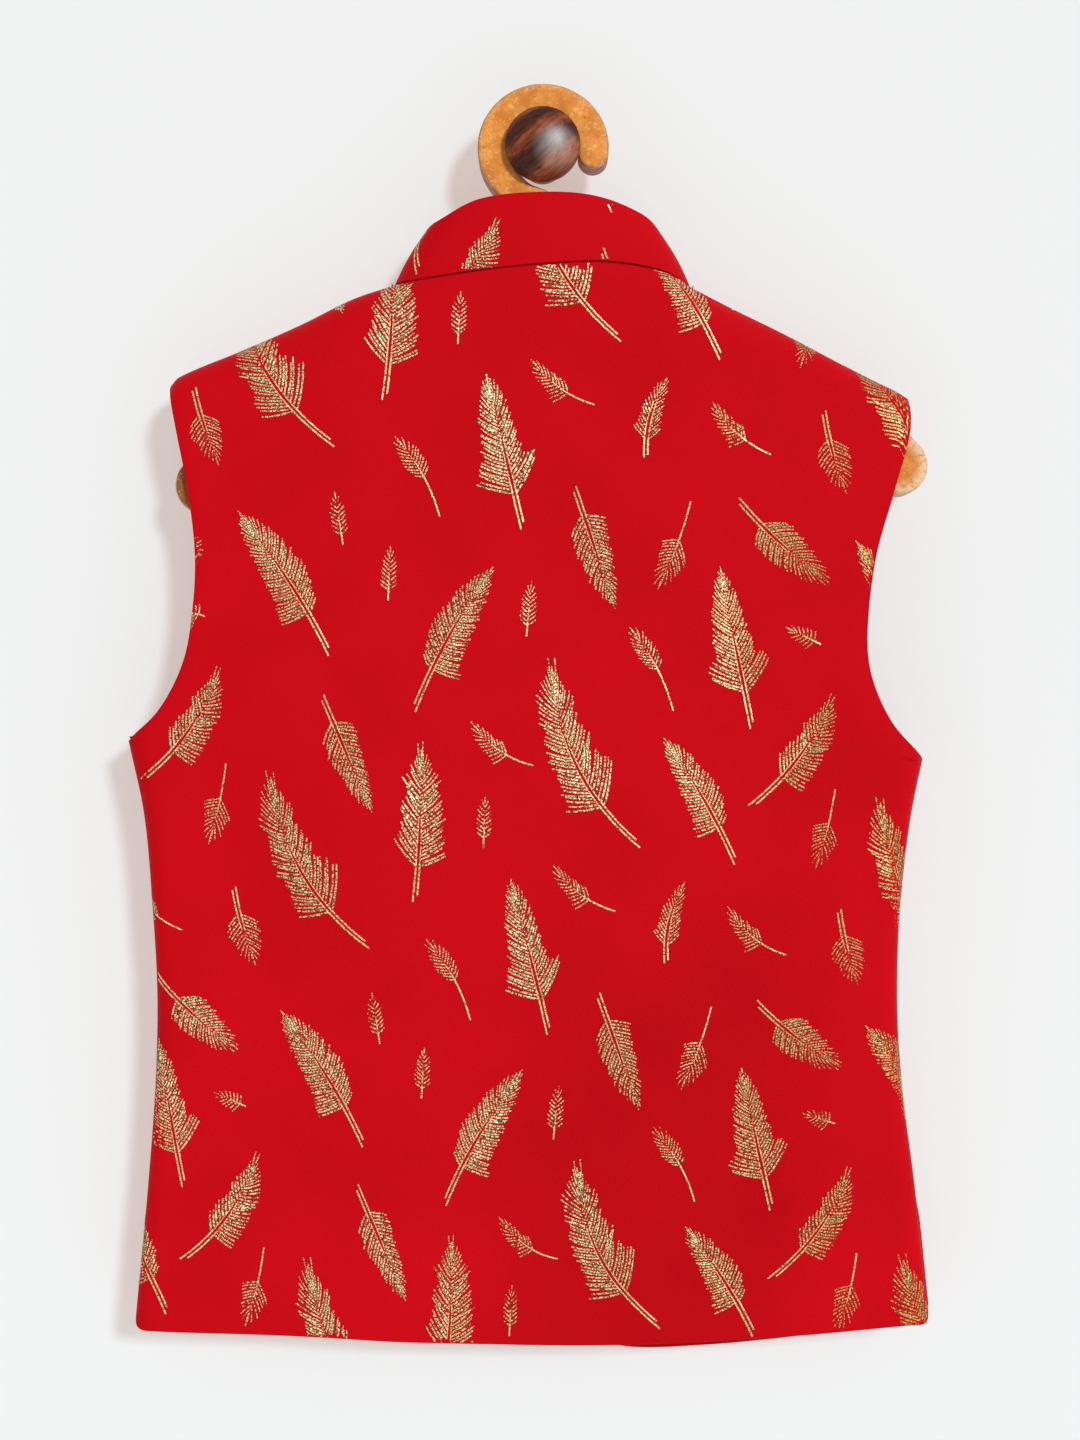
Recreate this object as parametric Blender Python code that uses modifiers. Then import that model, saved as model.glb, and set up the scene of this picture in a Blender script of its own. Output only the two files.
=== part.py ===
"""A child's sleeveless Nehru jacket, hung flat on a wooden hanger from a round wall peg.

The wall is the plane y = 0 and the origin is the middle of the peg's rear face. The jacket's
back looks along -Y, away from the wall, and its buttoned fronts lie towards the wall.
Every size below is in millimetres; the meshes are made in metres, +Z up.
"""
from math import asin, atan2, cos, hypot, pi, radians, sin, sqrt

import bmesh
import bpy
import numpy as np

MM = 0.001

# ---------------------------------------------------------------- driving dimensions
MID_PLANE = -25.0        # middle of the hanger's board, half way between back and fronts
CLOTH = 2.2              # spongy printed cloth with its interfacing
COLLAR_CLOTH = 2.6       # the stand collar is a stiffer doubled band
SEAM_GAP = 0.3           # between two pieces that are sewn together
SIDE_ROLL = 11.0         # how far the cloth takes to roll round to a side seam
SHOULDER_ROLL = 13.0     # the same over a shoulder
ARMHOLE_OPEN = 0.92      # share of the depth that is left at an armhole's edge
ARMPIT_ROLL = 14.0       # length of armhole over which it opens out of the side seam
VENT_OPEN = 0.10         # share of the depth that is left at a side vent's hem
FRONT_SCOOP = 6.0        # the fronts' armholes are cut this much deeper than the back's
LAP = 25.0               # the left front laps over the right one by this much
LAP_OUT = 2.8            # so the left front stands out here, by one wall and a little air
LAP_STEP = 22.0          # width over which it steps out
LAP_SPARE = 6.0          # the step ends this far before the right front's edge
BUTTONS = 5
BUTTON_RADIUS = 7.5
BUTTON_HEIGHT = 3.6
FIRST_BUTTON = 15.0      # below the collar seam
BUTTON_SPACING = 74.0

HANGER_THICK = 16.0
ARM_HALF_WIDTH = 13.0
ARM_RADIUS = 204.8       # both arms lie on one arc
ARM_REACH = 154.0        # from the hanger's middle to the middle of each round end
ARM_TOP = -76.0          # height of the arc's crown
HANGER_MIDDLE = 2.0      # the hanger hangs a little to the right
HANGER_TILT = radians(1.6)
HANGER_EDGE = 2.5        # rounding of the board's edges
PEG_SHAFT_RADIUS = 9.5
PEG_HEAD_RADIUS = 16.6
PEG_HEAD_BACK = -33.5    # the head's rear face lies just in front of the hook
PEG_HEAD_RIM = 3.0       # straight part of the head's edge
PEG_DOME = 8.5
PEG_CHAMFER = 1.0

# The two side edges of the panels, from the hem up the seam and then up the armhole.
#    name        left x, left z, right x, right z
SIDE_SECTIONS = [
    ("hem",       -180.9, -518.5,  171.6, -516.5),
    ("vent top",  -175.5, -460.0,  165.5, -460.0),
    ("hip",       -172.2, -415.0,  159.8, -415.0),
    ("waist",     -171.3, -375.0,  157.8, -378.0),
    ("ribs",      -173.6, -335.0,  159.2, -336.0),
    ("chest",     -177.3, -296.0,  163.6, -299.0),
    ("armpit",    -184.2, -264.2,  169.0, -272.0),
]
ARMHOLE_SECTIONS = [
    ("armpit",    -184.2, -264.2,  169.0, -272.0),
    ("turn",      -169.4, -250.0,  154.2, -255.5),
    ("low scye",  -158.6, -228.5,  145.2, -235.0),
    ("scye",      -154.4, -203.5,  143.4, -216.0),
    ("high scye", -153.7, -180.0,  147.2, -183.0),
    ("blade",     -156.9, -153.0,  155.4, -153.5),
    ("under tip", -161.8, -128.0,  162.4, -127.5),
    ("tip",       -166.0, -106.0,  162.6, -111.0),
]
# How far the panels stand off the middle plane at each height.
#    name           z, back, front
DEPTHS = [
    ("hem",      -540.0, 12.5, 12.5),
    ("vent top", -460.0, 13.5, 13.5),
    ("waist",    -375.0, 14.8, 14.8),
    ("chest",    -296.0, 16.0, 16.0),
    ("armpit",   -250.0, 15.4, 15.4),
    ("scye",     -190.0, 13.9, 13.9),
    ("collar",   -112.0, 13.1, 13.1),
    ("ridge",     -50.0, 13.0, 13.0),
]
VENT_TOP = -460.0
VENT_FADE = 20.0         # the right front's vent swings out over this height
VENT_SWING = 1.2         # by this much, so that its two edges don't lie exactly on each other

# Shoulder ridges, from tip to collar.
#    name          x,      z
LEFT_SHOULDER = [
    ("tip",       -166.0, -106.0),
    ("rounding",  -161.8, -101.4),
    ("outer",     -132.0,  -88.9),
    ("middle",    -107.8,  -78.2),
    ("inner",      -84.2,  -66.6),
    ("collar",     -66.2,  -60.6),
]
RIGHT_SHOULDER = [
    ("tip",        162.6, -111.0),
    ("rounding",   156.8, -107.6),
    ("outer",      142.3, -100.6),
    ("middle",     106.3,  -81.7),
    ("inner",       86.3,  -71.9),
    ("collar",      65.8,  -61.4),
]

# The stand collar, from the left front round the back of the neck to the right front: its
# seam with the body and its top edge. Off is the distance from the middle plane, less than
# nothing towards the back.
#    name            seam x, seam z, seam off, top x, top z, top off
COLLAR = [
    ("left end",       -1.0, -112.0,  15.9,   -1.0,  -81.0,  13.0),
    ("left front",    -33.0, -105.5,  14.4,  -29.0,  -74.5,  12.4),
    ("left turn",     -56.0,  -85.0,  13.1,  -47.5,  -56.0,  10.4),
    ("left slope",    -64.3,  -69.0,  11.4,  -51.8,  -41.0,   7.2),
    ("left ridge",    -65.8,  -62.8,   6.6,  -52.2,  -36.0,   4.0),
    ("left side",     -66.2,  -60.6,   0.0,  -50.4,  -33.8,   0.0),
    ("left back",     -58.6,  -60.1,  -8.0,  -46.5,  -32.4,  -7.0),
    ("left nape",     -31.0,  -56.5, -12.4,  -28.0,  -23.8, -11.2),
    ("nape",            0.5,  -53.3, -12.9,    0.6,  -20.8, -11.9),
    ("right nape",     28.0,  -52.3, -12.4,   24.0,  -22.6, -11.4),
    ("right back",     54.0,  -55.9,  -8.6,   44.4,  -29.8,  -7.6),
    ("right side",     65.8,  -61.4,   0.0,   51.8,  -35.8,   0.0),
    ("right ridge",    65.4,  -63.6,   6.6,   52.0,  -38.4,   4.0),
    ("right slope",    64.1,  -69.8,  11.4,   51.6,  -43.4,   7.2),
    ("right turn",     56.0,  -85.6,  13.1,   47.5,  -57.0,  10.4),
    ("right front",    33.0, -105.7,  13.1,   29.0,  -75.0,  11.6),
    ("right end",       1.0, -112.0,  13.1,    1.0,  -81.0,  11.0),
]
COLLAR_BOW = 1.2         # how far the collar stands out between its edges
COLLAR_CORNER = 11.0     # rounding of its two front corners
COLLAR_LENGTH = 350.0

# Hems, from one side seam to the other or to the centre front.
#    name              x,      z
BACK_HEM = [
    ("left corner",   -180.9, -518.5),
    ("left turn",     -179.4, -523.0),
    ("left",          -174.0, -524.2),
    ("left quarter",  -119.0, -526.0),
    ("left middle",    -51.5, -529.1),
    ("middle",          -1.0, -530.4),
    ("right middle",    39.4, -530.2),
    ("right quarter",   93.0, -527.9),
    ("right",          163.0, -521.6),
    ("right turn",     169.8, -521.0),
    ("right corner",   171.6, -516.5),
]
LEFT_FRONT_HEM = [
    ("side corner",   -180.9, -518.5),
    ("side turn",     -179.4, -523.0),
    ("side",          -172.0, -524.8),
    ("middle",         -80.0, -531.0),
    ("before curve",   -30.0, -531.5),
    ("curve",           -6.0, -526.0),
    ("curve end",        6.0, -511.0),
    ("front edge",       8.0, -492.0),
]
RIGHT_FRONT_HEM = [
    ("side corner",    172.8, -516.5),
    ("side turn",      170.8, -521.6),
    ("side",           164.0, -523.6),
    ("quarter",        125.0, -531.3),
    ("lowest",          72.0, -536.2),
    ("before curve",    36.0, -537.0),
    ("curve",            3.0, -527.0),
    ("curve end",      -14.0, -508.0),
    ("front edge",     -17.0, -488.0),
]
CENTRE_NECK = (0.0, -112.0)
CENTRE_HEM = (-4.6, -530.0)

# The largest soft folds: a ridge stands out and a trough lies in, along a line.
#    panel,        x 1,    z 1,    x 2,    z 2,  width, height
FOLDS = [
    ("back",      -128.0, -236.0,  -70.0, -300.0,  26.0,   2.0),
    ("back",      -150.0, -282.0, -120.0, -400.0,  20.0,  -1.8),
    ("back",       118.0, -262.0,   70.0, -350.0,  30.0,  -2.2),
    ("back",       138.0, -330.0,  128.0, -470.0,  17.0,   2.0),
    ("back",        96.0, -395.0,   88.0, -525.0,  20.0,  -1.6),
    ("back",       -58.0, -430.0,  -66.0, -528.0,  24.0,   1.6),
    ("back",         0.0, -100.0,    0.0, -150.0,  40.0,  -1.2),
    ("left front",-124.0, -240.0,  -64.0, -306.0,  24.0,   1.8),
    ("left front",-146.0, -300.0, -128.0, -430.0,  20.0,  -1.8),
    ("left front", -72.0, -420.0,  -84.0, -526.0,  24.0,   1.6),
    ("right front",112.0, -246.0,   60.0, -320.0,  26.0,  -1.8),
    ("right front",130.0, -330.0,  118.0, -460.0,  18.0,   1.8),
    ("right front", 66.0, -430.0,   76.0, -534.0,  22.0,  -1.6),
]

CALM = 40.0              # folds die away over this distance from a seam or the lap

# The hook: how far its inner and outer edge lie from the peg's axis at each angle,
# counted from +X. The crown rests on the peg and the mouth opens below, to the right.
#    angle, inner, outer
HOOK = [
    (  -8.0, 15.9, 29.4),
    (  20.0, 14.2, 29.2),
    (  55.0, 11.2, 28.4),
    (  90.0,  9.8, 28.0),
    ( 125.0, 10.6, 28.2),
    ( 160.0, 12.0, 28.7),
    ( 195.0, 14.0, 29.0),
    ( 228.0, 15.8, 29.3),
]
NECK_LEFT = [(-18.4, -30.0), (-15.2, -42.0)]     # neck of the hanger, down to the arms
NECK_RIGHT = [(14.4, -47.0), (10.6, -30.0), (3.4, -20.4), (-5.6, -16.4)]
NECK_FOOT = 26.0         # the neck's two sides meet the arms this far from the middle

RED = (0.60, 0.006, 0.012, 1.0)
GOLD = (0.80, 0.56, 0.22, 1.0)
HANGER_WOOD = (0.62, 0.29, 0.06, 1.0)
PEG_WOOD = (0.12, 0.035, 0.015, 1.0)


# ---------------------------------------------------------------- helpers
def curve(points):
    """A smooth curve through the points, as a function of its share of the whole length."""
    p = np.array(points, float)
    along = np.concatenate(([0.0], np.cumsum(np.linalg.norm(np.diff(p, axis=0), axis=1))))
    along /= along[-1]
    slope = np.empty_like(p)
    slope[0] = (p[1] - p[0]) / (along[1] - along[0])
    slope[-1] = (p[-1] - p[-2]) / (along[-1] - along[-2])
    slope[1:-1] = (p[2:] - p[:-2]) / (along[2:] - along[:-2])[:, None]

    def at(share):
        share = min(max(share, 0.0), 1.0)
        k = int(min(max(np.searchsorted(along, share) - 1, 0), len(p) - 2))
        gap = along[k + 1] - along[k]
        s = (share - along[k]) / gap
        return ((2 * s**3 - 3 * s**2 + 1) * p[k] + (s**3 - 2 * s**2 + s) * gap * slope[k]
                + (3 * s**2 - 2 * s**3) * p[k + 1] + (s**3 - s**2) * gap * slope[k + 1])

    at.shares = along
    return at


def joined(first, second, change):
    """Two curves end to end: the first up to the share called change."""
    def at(share):
        if share <= change:
            return first(share / change)
        return second((share - change) / (1 - change))
    return at


def roll(distance, radius):
    """A quarter round: 0 at the seam, 1 from the radius on."""
    t = min(max(distance / radius, 0.0), 1.0)
    return sqrt(1 - (1 - t) ** 2)


def ease(t):
    t = min(max(t, 0.0), 1.0)
    return t * t * (3 - 2 * t)


def rolled_steps(start, end, length, radius, count, turns, at_start=False, at_end=False):
    """Shares from start to end of a line of this length: even steps, closer in the rolls."""
    share = radius / length
    near = [share * (1 - cos(pi / 2 * i / turns)) for i in range(turns)]
    low = start + (share if at_start else 0.0)
    high = end - (share if at_end else 0.0)
    middle = list(np.linspace(low, high, count + 1))
    before = [start + s for s in near] if at_start else []
    after = [end - s for s in reversed(near)] if at_end else []
    return before + middle + after


def distance_to_line(x, z, x1, z1, x2, z2):
    dx, dz = x2 - x1, z2 - z1
    t = min(max(((x - x1) * dx + (z - z1) * dz) / (dx * dx + dz * dz), 0.0), 1.0)
    return hypot(x - x1 - t * dx, z - z1 - t * dz)


def folds(panel, x, z):
    return sum(height * np.exp(-(distance_to_line(x, z, x1, z1, x2, z2) / width) ** 2)
               for owner, x1, z1, x2, z2, width, height in FOLDS if owner == panel)


def new_object(name, mesh, material, collection):
    ob = bpy.data.objects.new(name, mesh)
    mesh.materials.append(material)
    collection.objects.link(ob)
    return ob


def material(name, colour, roughness, metallic=0.0):
    m = bpy.data.materials.new(name)
    m.use_nodes = True
    m.diffuse_color = colour
    shader = m.node_tree.nodes["Principled BSDF"]
    shader.inputs["Base Color"].default_value = colour
    shader.inputs["Roughness"].default_value = roughness
    shader.inputs["Metallic"].default_value = metallic
    return m


def cloth_wall(name, surface, us, vs, thickness, outward, look, collection):
    """A closed wall of cloth: the surface, and the same surface moved inwards.

    The wall is measured along the surface's own normals, not those of its faces, so that two
    walls keep their gap all the way round a rolled side seam."""
    tiny = 1e-5          # step for the slopes, in shares

    def normal(u, v):
        du = surface(min(u + tiny, 1.0), v) - surface(max(u - tiny, 0.0), v)
        dv = surface(u, min(v + tiny, 1.0)) - surface(u, max(v - tiny, 0.0))
        n = np.cross(du, dv)
        return n / np.linalg.norm(n)

    middle = normal(us[len(us) // 2], vs[len(vs) // 3])
    side = 1.0 if np.dot(middle, outward) > 0 else -1.0
    bm = bmesh.new()
    outer, inner = [], []
    for v in vs:
        points = [surface(u, v) for u in us]
        normals = [side * normal(u, v) for u in us]
        outer.append([bm.verts.new(p * MM) for p in points])
        inner.append([bm.verts.new((p - thickness * n) * MM) for p, n in zip(points, normals)])

    def face(*corners):
        bm.faces.new(corners if side > 0 else corners[::-1])

    rows, columns = len(vs), len(us)
    for j in range(rows - 1):
        for i in range(columns - 1):
            face(outer[j][i], outer[j][i + 1], outer[j + 1][i + 1], outer[j + 1][i])
            face(inner[j][i], inner[j + 1][i], inner[j + 1][i + 1], inner[j][i + 1])
        face(outer[j][0], outer[j + 1][0], inner[j + 1][0], inner[j][0])
        face(outer[j + 1][-1], outer[j][-1], inner[j][-1], inner[j + 1][-1])
    for i in range(columns - 1):
        face(outer[0][i + 1], outer[0][i], inner[0][i], inner[0][i + 1])
        face(outer[-1][i], outer[-1][i + 1], inner[-1][i + 1], inner[-1][i])
    mesh = bpy.data.meshes.new(name)
    bm.to_mesh(mesh)
    bm.free()
    mesh.shade_smooth()
    mesh.set_sharp_from_angle(angle=radians(50))
    return new_object(name, mesh, look, collection)


# ---------------------------------------------------------------- the panels' outlines
# A point of a panel is named by two shares: u across it, and v from its hem to its shoulder.
PANEL_HEIGHT = 440.0     # mean sizes, which turn a share into a length
BACK_WIDTH = 340.0
FRONT_WIDTH = 180.0
ARMPIT_SHARE = 0.60      # share of a panel's height at which the armhole starts
VENT_SHARE = 0.23        # share of the side below the armhole that the vent takes
NECK_SHARE = 0.31        # share of the back's width at which the collar starts
FRONT_NECK_SHARE = 0.50  # the same for a front, from its side
NECK_END_SHARE = 0.88    # share of a front's neck that the collar covers

collar_band = curve([row[1:] for row in COLLAR])
collar_share = {row[0]: share for row, share in zip(COLLAR, collar_band.shares)}


def depth(z, column):
    """How far a panel stands off the middle plane at a height: column 2 is the back, 3 the front."""
    return float(np.interp(z, [row[1] for row in DEPTHS], [row[column] for row in DEPTHS]))


def side_edge(column, scoop=0.0, swing=0.0):
    """One side of a panel from hem to shoulder tip: column 1 is the left, 3 the right."""
    inwards = 1.0 if column == 1 else -1.0
    seam = curve([(row[column], row[column + 1]) for row in SIDE_SECTIONS])
    armhole = curve([(row[column], row[column + 1]) for row in ARMHOLE_SECTIONS])
    whole = joined(seam, armhole, ARMPIT_SHARE)

    def at(v):
        x, z = whole(v)
        if v > ARMPIT_SHARE:
            x += inwards * scoop * sin(pi * (v - ARMPIT_SHARE) / (1 - ARMPIT_SHARE)) ** 2
        x -= inwards * swing * ease((VENT_TOP - z) / VENT_FADE)
        return np.array([x, z])

    return at


def neck_edge(first, last):
    """The collar seam from one row of COLLAR to another: x, z and distance off the middle plane."""
    start, end = collar_share[first], collar_share[last]

    def at(share):
        return collar_band(start + share * (end - start))[:3]

    return at


def with_depth(rows):
    return curve([(x, z, 0.0) for _, x, z in rows])


def centre_front(z):
    share = (z - CENTRE_NECK[1]) / (CENTRE_HEM[1] - CENTRE_NECK[1])
    return CENTRE_NECK[0] + share * (CENTRE_HEM[0] - CENTRE_NECK[0])


def patch(bottom, top, near, far, u, v):
    """A point of the flat panel whose four edges are the given curves."""
    b, t, n, f = bottom(u)[:2], top(u)[:2], near(v), far(v)
    b0, b1, t0, t1 = bottom(0)[:2], bottom(1)[:2], top(0)[:2], top(1)[:2]
    corners = (1 - u) * (1 - v) * b0 + u * (1 - v) * b1 + (1 - u) * v * t0 + u * v * t1
    return (1 - v) * b + v * t + (1 - u) * n + u * f - corners


def edge_share(v):
    """How open a side edge stands: shut along the seam, open at the vent and the armhole."""
    if v <= ARMPIT_SHARE:
        return VENT_OPEN * ease(1 - v / ARMPIT_SHARE / VENT_SHARE)
    return ARMHOLE_OPEN * roll((v - ARMPIT_SHARE) * PANEL_HEIGHT, ARMPIT_ROLL)


def lift(u, v, edge, width, full, near_side, far_side):
    """How far a panel stands off the middle plane before its folds.

    It rounds over at its top, and the neck cuts that round off where it stands off by edge."""
    cut = SHOULDER_ROLL * (1 - sqrt(1 - min(edge / full, 1.0) ** 2))
    at_top = full * roll((1 - v) * PANEL_HEIGHT + cut, SHOULDER_ROLL)
    share = edge_share(v)
    factor = 1.0
    if near_side:
        factor *= share + (1 - share) * roll(u * width, SIDE_ROLL)
    if far_side:
        factor *= share + (1 - share) * roll((1 - u) * width, SIDE_ROLL)
    return at_top * factor


def back_surface():
    bottom = curve([(x, z) for _, x, z in BACK_HEM])
    left_top = with_depth(LEFT_SHOULDER)
    right_top = with_depth(RIGHT_SHOULDER[::-1])
    neck = neck_edge("left side", "right side")
    rest = joined(neck, right_top, (1 - 2 * NECK_SHARE) / (1 - NECK_SHARE))
    top = joined(left_top, rest, NECK_SHARE)
    left, right = side_edge(1), side_edge(3)

    def at(u, v):
        x, z = patch(bottom, top, left, right, u, v)
        off = lift(u, v, -top(u)[2], BACK_WIDTH, depth(z, 2), True, True)
        calm = ease(u * BACK_WIDTH / CALM) * ease((1 - u) * BACK_WIDTH / CALM)
        calm *= ease((1 - v) * PANEL_HEIGHT / CALM)
        off += folds("back", x, z) * calm
        return np.array([x, MID_PLANE - SEAM_GAP / 2 - off, z])

    return at


def lap_step(x, z):
    """How far the left front stands out beyond the right one at a point."""
    before = centre_front(z) - LAP / 2 - LAP_SPARE - x
    return LAP_OUT * ease(1 - before / LAP_STEP)


def front_surface(side):
    """The left or right front, from its side seam, u = 0, to its front edge, u = 1."""
    left = side == "left"
    bottom = curve([(x, z) for _, x, z in (LEFT_FRONT_HEM if left else RIGHT_FRONT_HEM)])
    shoulder = with_depth(LEFT_SHOULDER if left else RIGHT_SHOULDER)
    under_collar = neck_edge(f"{side} side", f"{side} end")
    end = under_collar(1.0)
    past = end + np.array([LAP / 2 if left else -LAP / 2, 0.0, 0.0])

    def lap_top(share):
        return end + share * (past - end)

    neck = joined(under_collar, lap_top, NECK_END_SHARE)
    top = joined(shoulder, neck, FRONT_NECK_SHARE)
    outer = side_edge(1 if left else 3, FRONT_SCOOP, 0.0 if left else VENT_SWING)
    low, high = bottom(1.0), past[:2]

    def front_edge(v):
        return low + v * (high - low)

    def at(u, v):
        x, z = patch(bottom, top, outer, front_edge, u, v)
        edge_x, edge_z, edge = top(u)
        if left:
            edge -= lap_step(edge_x, edge_z)
        off = lift(u, v, edge, FRONT_WIDTH, depth(z, 3), True, False)
        calm = ease(u * FRONT_WIDTH / CALM) * ease((1 - v) * PANEL_HEIGHT / CALM)
        calm *= ease((abs(x - centre_front(z)) - LAP) / CALM)
        off += folds(f"{side} front", x, z) * calm
        if left:
            off += lap_step(x, z)
        return np.array([x, MID_PLANE + SEAM_GAP / 2 + off, z])

    return at


def collar_surface():
    """The collar's outer face, all round from one front end, u = 0, to the other."""
    def at(u, v):
        band = collar_band(u)
        low, high = band[:3], band[3:]
        start = min(u, 1 - u) * COLLAR_LENGTH
        cut = COLLAR_CORNER - sqrt(max(COLLAR_CORNER**2 - max(COLLAR_CORNER - start, 0) ** 2, 0))
        stand = np.linalg.norm(high - low)
        share = (SEAM_GAP + v * (stand - SEAM_GAP - cut)) / stand
        x, z, off = low + share * (high - low)
        bow = 1 + COLLAR_BOW * sin(pi * share) / hypot(x, off)
        return np.array([bow * x, MID_PLANE + bow * off, z])

    return at


# ---------------------------------------------------------------- the sewn jacket
SEAM_ROWS = 14           # rows of faces from the hem to the armpit
ARMHOLE_ROWS = 7         # and from there to the shoulder, beside those in the two rolls
SIDE_COLUMNS = 7         # columns of faces below each shoulder of the back
FRONT_COLUMNS = 6        # and of a front
NECK_COLUMNS = 6         # columns along the middle of the back's neckline
FRONT_NECK_COLUMNS = 12
LAP_COLUMNS = 2
COLLAR_ROWS = 4
ROLL_STEPS = 5           # faces round a rolled side or shoulder
NECK_TURN = 18.0         # the neckline bends most within this distance of a shoulder


def spread(u, columns, first, last):
    """The collar's share at column u of a panel's neckline, from one row of COLLAR to another."""
    start, end = collar_share[first], collar_share[last]
    return start + (u - columns[0]) / (columns[-1] - columns[0]) * (end - start)


def build_jacket(look, collection):
    low = list(np.linspace(0.0, ARMPIT_SHARE, SEAM_ROWS + 1))
    high = rolled_steps(ARMPIT_SHARE, 1.0, PANEL_HEIGHT, SHOULDER_ROLL, ARMHOLE_ROWS, ROLL_STEPS,
                        at_start=True, at_end=True)
    rows = low[:-1] + high

    neck = rolled_steps(NECK_SHARE, 1 - NECK_SHARE, BACK_WIDTH, NECK_TURN, NECK_COLUMNS, 4,
                        at_start=True, at_end=True)
    left = rolled_steps(0.0, NECK_SHARE, BACK_WIDTH, SIDE_ROLL, SIDE_COLUMNS, ROLL_STEPS,
                        at_start=True)
    right = [1 - u for u in reversed(left)]
    cloth_wall("back", back_surface(), left[:-1] + neck + right[1:], rows, CLOTH, (0, -1, 0),
               look, collection)

    collar_end = FRONT_NECK_SHARE + NECK_END_SHARE * (1 - FRONT_NECK_SHARE)
    side = rolled_steps(0.0, FRONT_NECK_SHARE, FRONT_WIDTH, SIDE_ROLL, FRONT_COLUMNS, ROLL_STEPS,
                        at_start=True)
    front_neck = list(np.linspace(FRONT_NECK_SHARE, collar_end, FRONT_NECK_COLUMNS + 1))
    lap = list(np.linspace(collar_end, 1.0, LAP_COLUMNS + 1))
    for name in ("left", "right"):
        cloth_wall(f"front_{name}", front_surface(name), side[:-1] + front_neck + lap[1:], rows,
                   CLOTH, (0, 1, 0), look, collection)

    # The collar has a column at each column of the panels that it is sewn to.
    around = [spread(u, front_neck, "left side", "left end") for u in reversed(front_neck)]
    around += [spread(u, neck, "left side", "right side") for u in neck[1:-1]]
    around += [spread(u, front_neck, "right side", "right end") for u in front_neck]
    stand = list(np.linspace(0.0, 1.0, COLLAR_ROWS + 1))
    cloth_wall("collar", collar_surface(), around, stand, COLLAR_CLOTH, (0, -1, 0),
               look, collection)


# ---------------------------------------------------------------- wood and buttons
def turned(name, profile, steps, look, collection):
    """A solid turned about its own Z axis; the profile runs from the top down, as radius, height."""
    mesh = bpy.data.meshes.new(name)
    verts = [(r * MM, 0, h * MM) for r, h in profile]
    mesh.from_pydata(verts, [(i, i + 1) for i in range(len(verts) - 1)], [])
    ob = new_object(name, mesh, look, collection)
    screw = ob.modifiers.new("turn", "SCREW")
    screw.steps = screw.render_steps = steps
    screw.use_merge_vertices = True
    screw.merge_threshold = 1e-6
    screw.use_smooth_shade = True
    return ob


def front_at(surface, x, z, radius):
    """How far the left front reaches from the back, within a radius of the point x, z."""
    near_lap = [surface(u, v) for u in np.linspace(0.8, 1, 25) for v in np.linspace(0, 1, 90)]
    return max(p[1] for p in near_lap if hypot(p[0] - x, p[2] - z) < radius)


def build_buttons(look, collection):
    """Domed shank buttons on the centre line of the left front, which is uppermost."""
    surface = front_surface("left")
    r, h = BUTTON_RADIUS, BUTTON_HEIGHT
    profile = [(0.0, h), (0.45 * r, 0.93 * h), (0.8 * r, 0.68 * h), (r, 0.3 * h),
               (r, 0.12 * h), (0.9 * r, 0.0), (0.0, 0.0)]
    for k in range(BUTTONS):
        z = CENTRE_NECK[1] - FIRST_BUTTON - k * BUTTON_SPACING
        x = centre_front(z)
        seat = front_at(surface, x, z, 1.5 * r) + SEAM_GAP
        ob = turned(f"button_{k + 1}", profile, 20, look, collection)
        ob.location = (x * MM, seat * MM, z * MM)
        ob.rotation_euler = (-pi / 2, 0, 0)


def hook_edges(steps):
    """The hook's outer and inner edge, from its tip round to the hanger's neck."""
    spiral = curve([(radians(angle), inner, outer) for angle, inner, outer in HOOK])
    outer_edge, inner_edge = [], []
    for i in range(steps + 1):
        a, inner, outer = spiral(i / steps)
        outer_edge.append((outer * cos(a), outer * sin(a)))
        inner_edge.append((inner * cos(a), inner * sin(a)))
    return outer_edge, inner_edge


def on_arm(along, off):
    """A point off the arms' arc, at a distance along it, turned by the hanger's tilt."""
    a = asin(along / ARM_RADIUS)
    x, z = (ARM_RADIUS + off) * sin(a), (ARM_RADIUS + off) * cos(a) - ARM_RADIUS
    return (HANGER_MIDDLE + x * cos(HANGER_TILT) - z * sin(HANGER_TILT),
            ARM_TOP + x * sin(HANGER_TILT) + z * cos(HANGER_TILT))


def arm_end(side, steps):
    """Half a circle round one arm's end, from its upper edge to its lower one."""
    x, z = on_arm(side * ARM_REACH, 0)
    top_x, top_z = on_arm(side * ARM_REACH, ARM_HALF_WIDTH)
    start = atan2(top_z - z, top_x - x)
    turns = [start - side * pi * i / steps for i in range(steps + 1)]
    return [(x + ARM_HALF_WIDTH * cos(a), z + ARM_HALF_WIDTH * sin(a)) for a in turns]


def hook_tip(inner, outer, steps):
    """Half a circle from the hook's inner edge round to its outer one."""
    inner, outer = np.array(inner), np.array(outer)
    middle, radius = (inner + outer) / 2, np.linalg.norm(outer - inner) / 2
    start = atan2(inner[1] - middle[1], inner[0] - middle[0])
    turns = [start + pi * i / steps for i in range(1, steps)]
    return [(middle[0] + radius * cos(a), middle[1] + radius * sin(a)) for a in turns]


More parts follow.
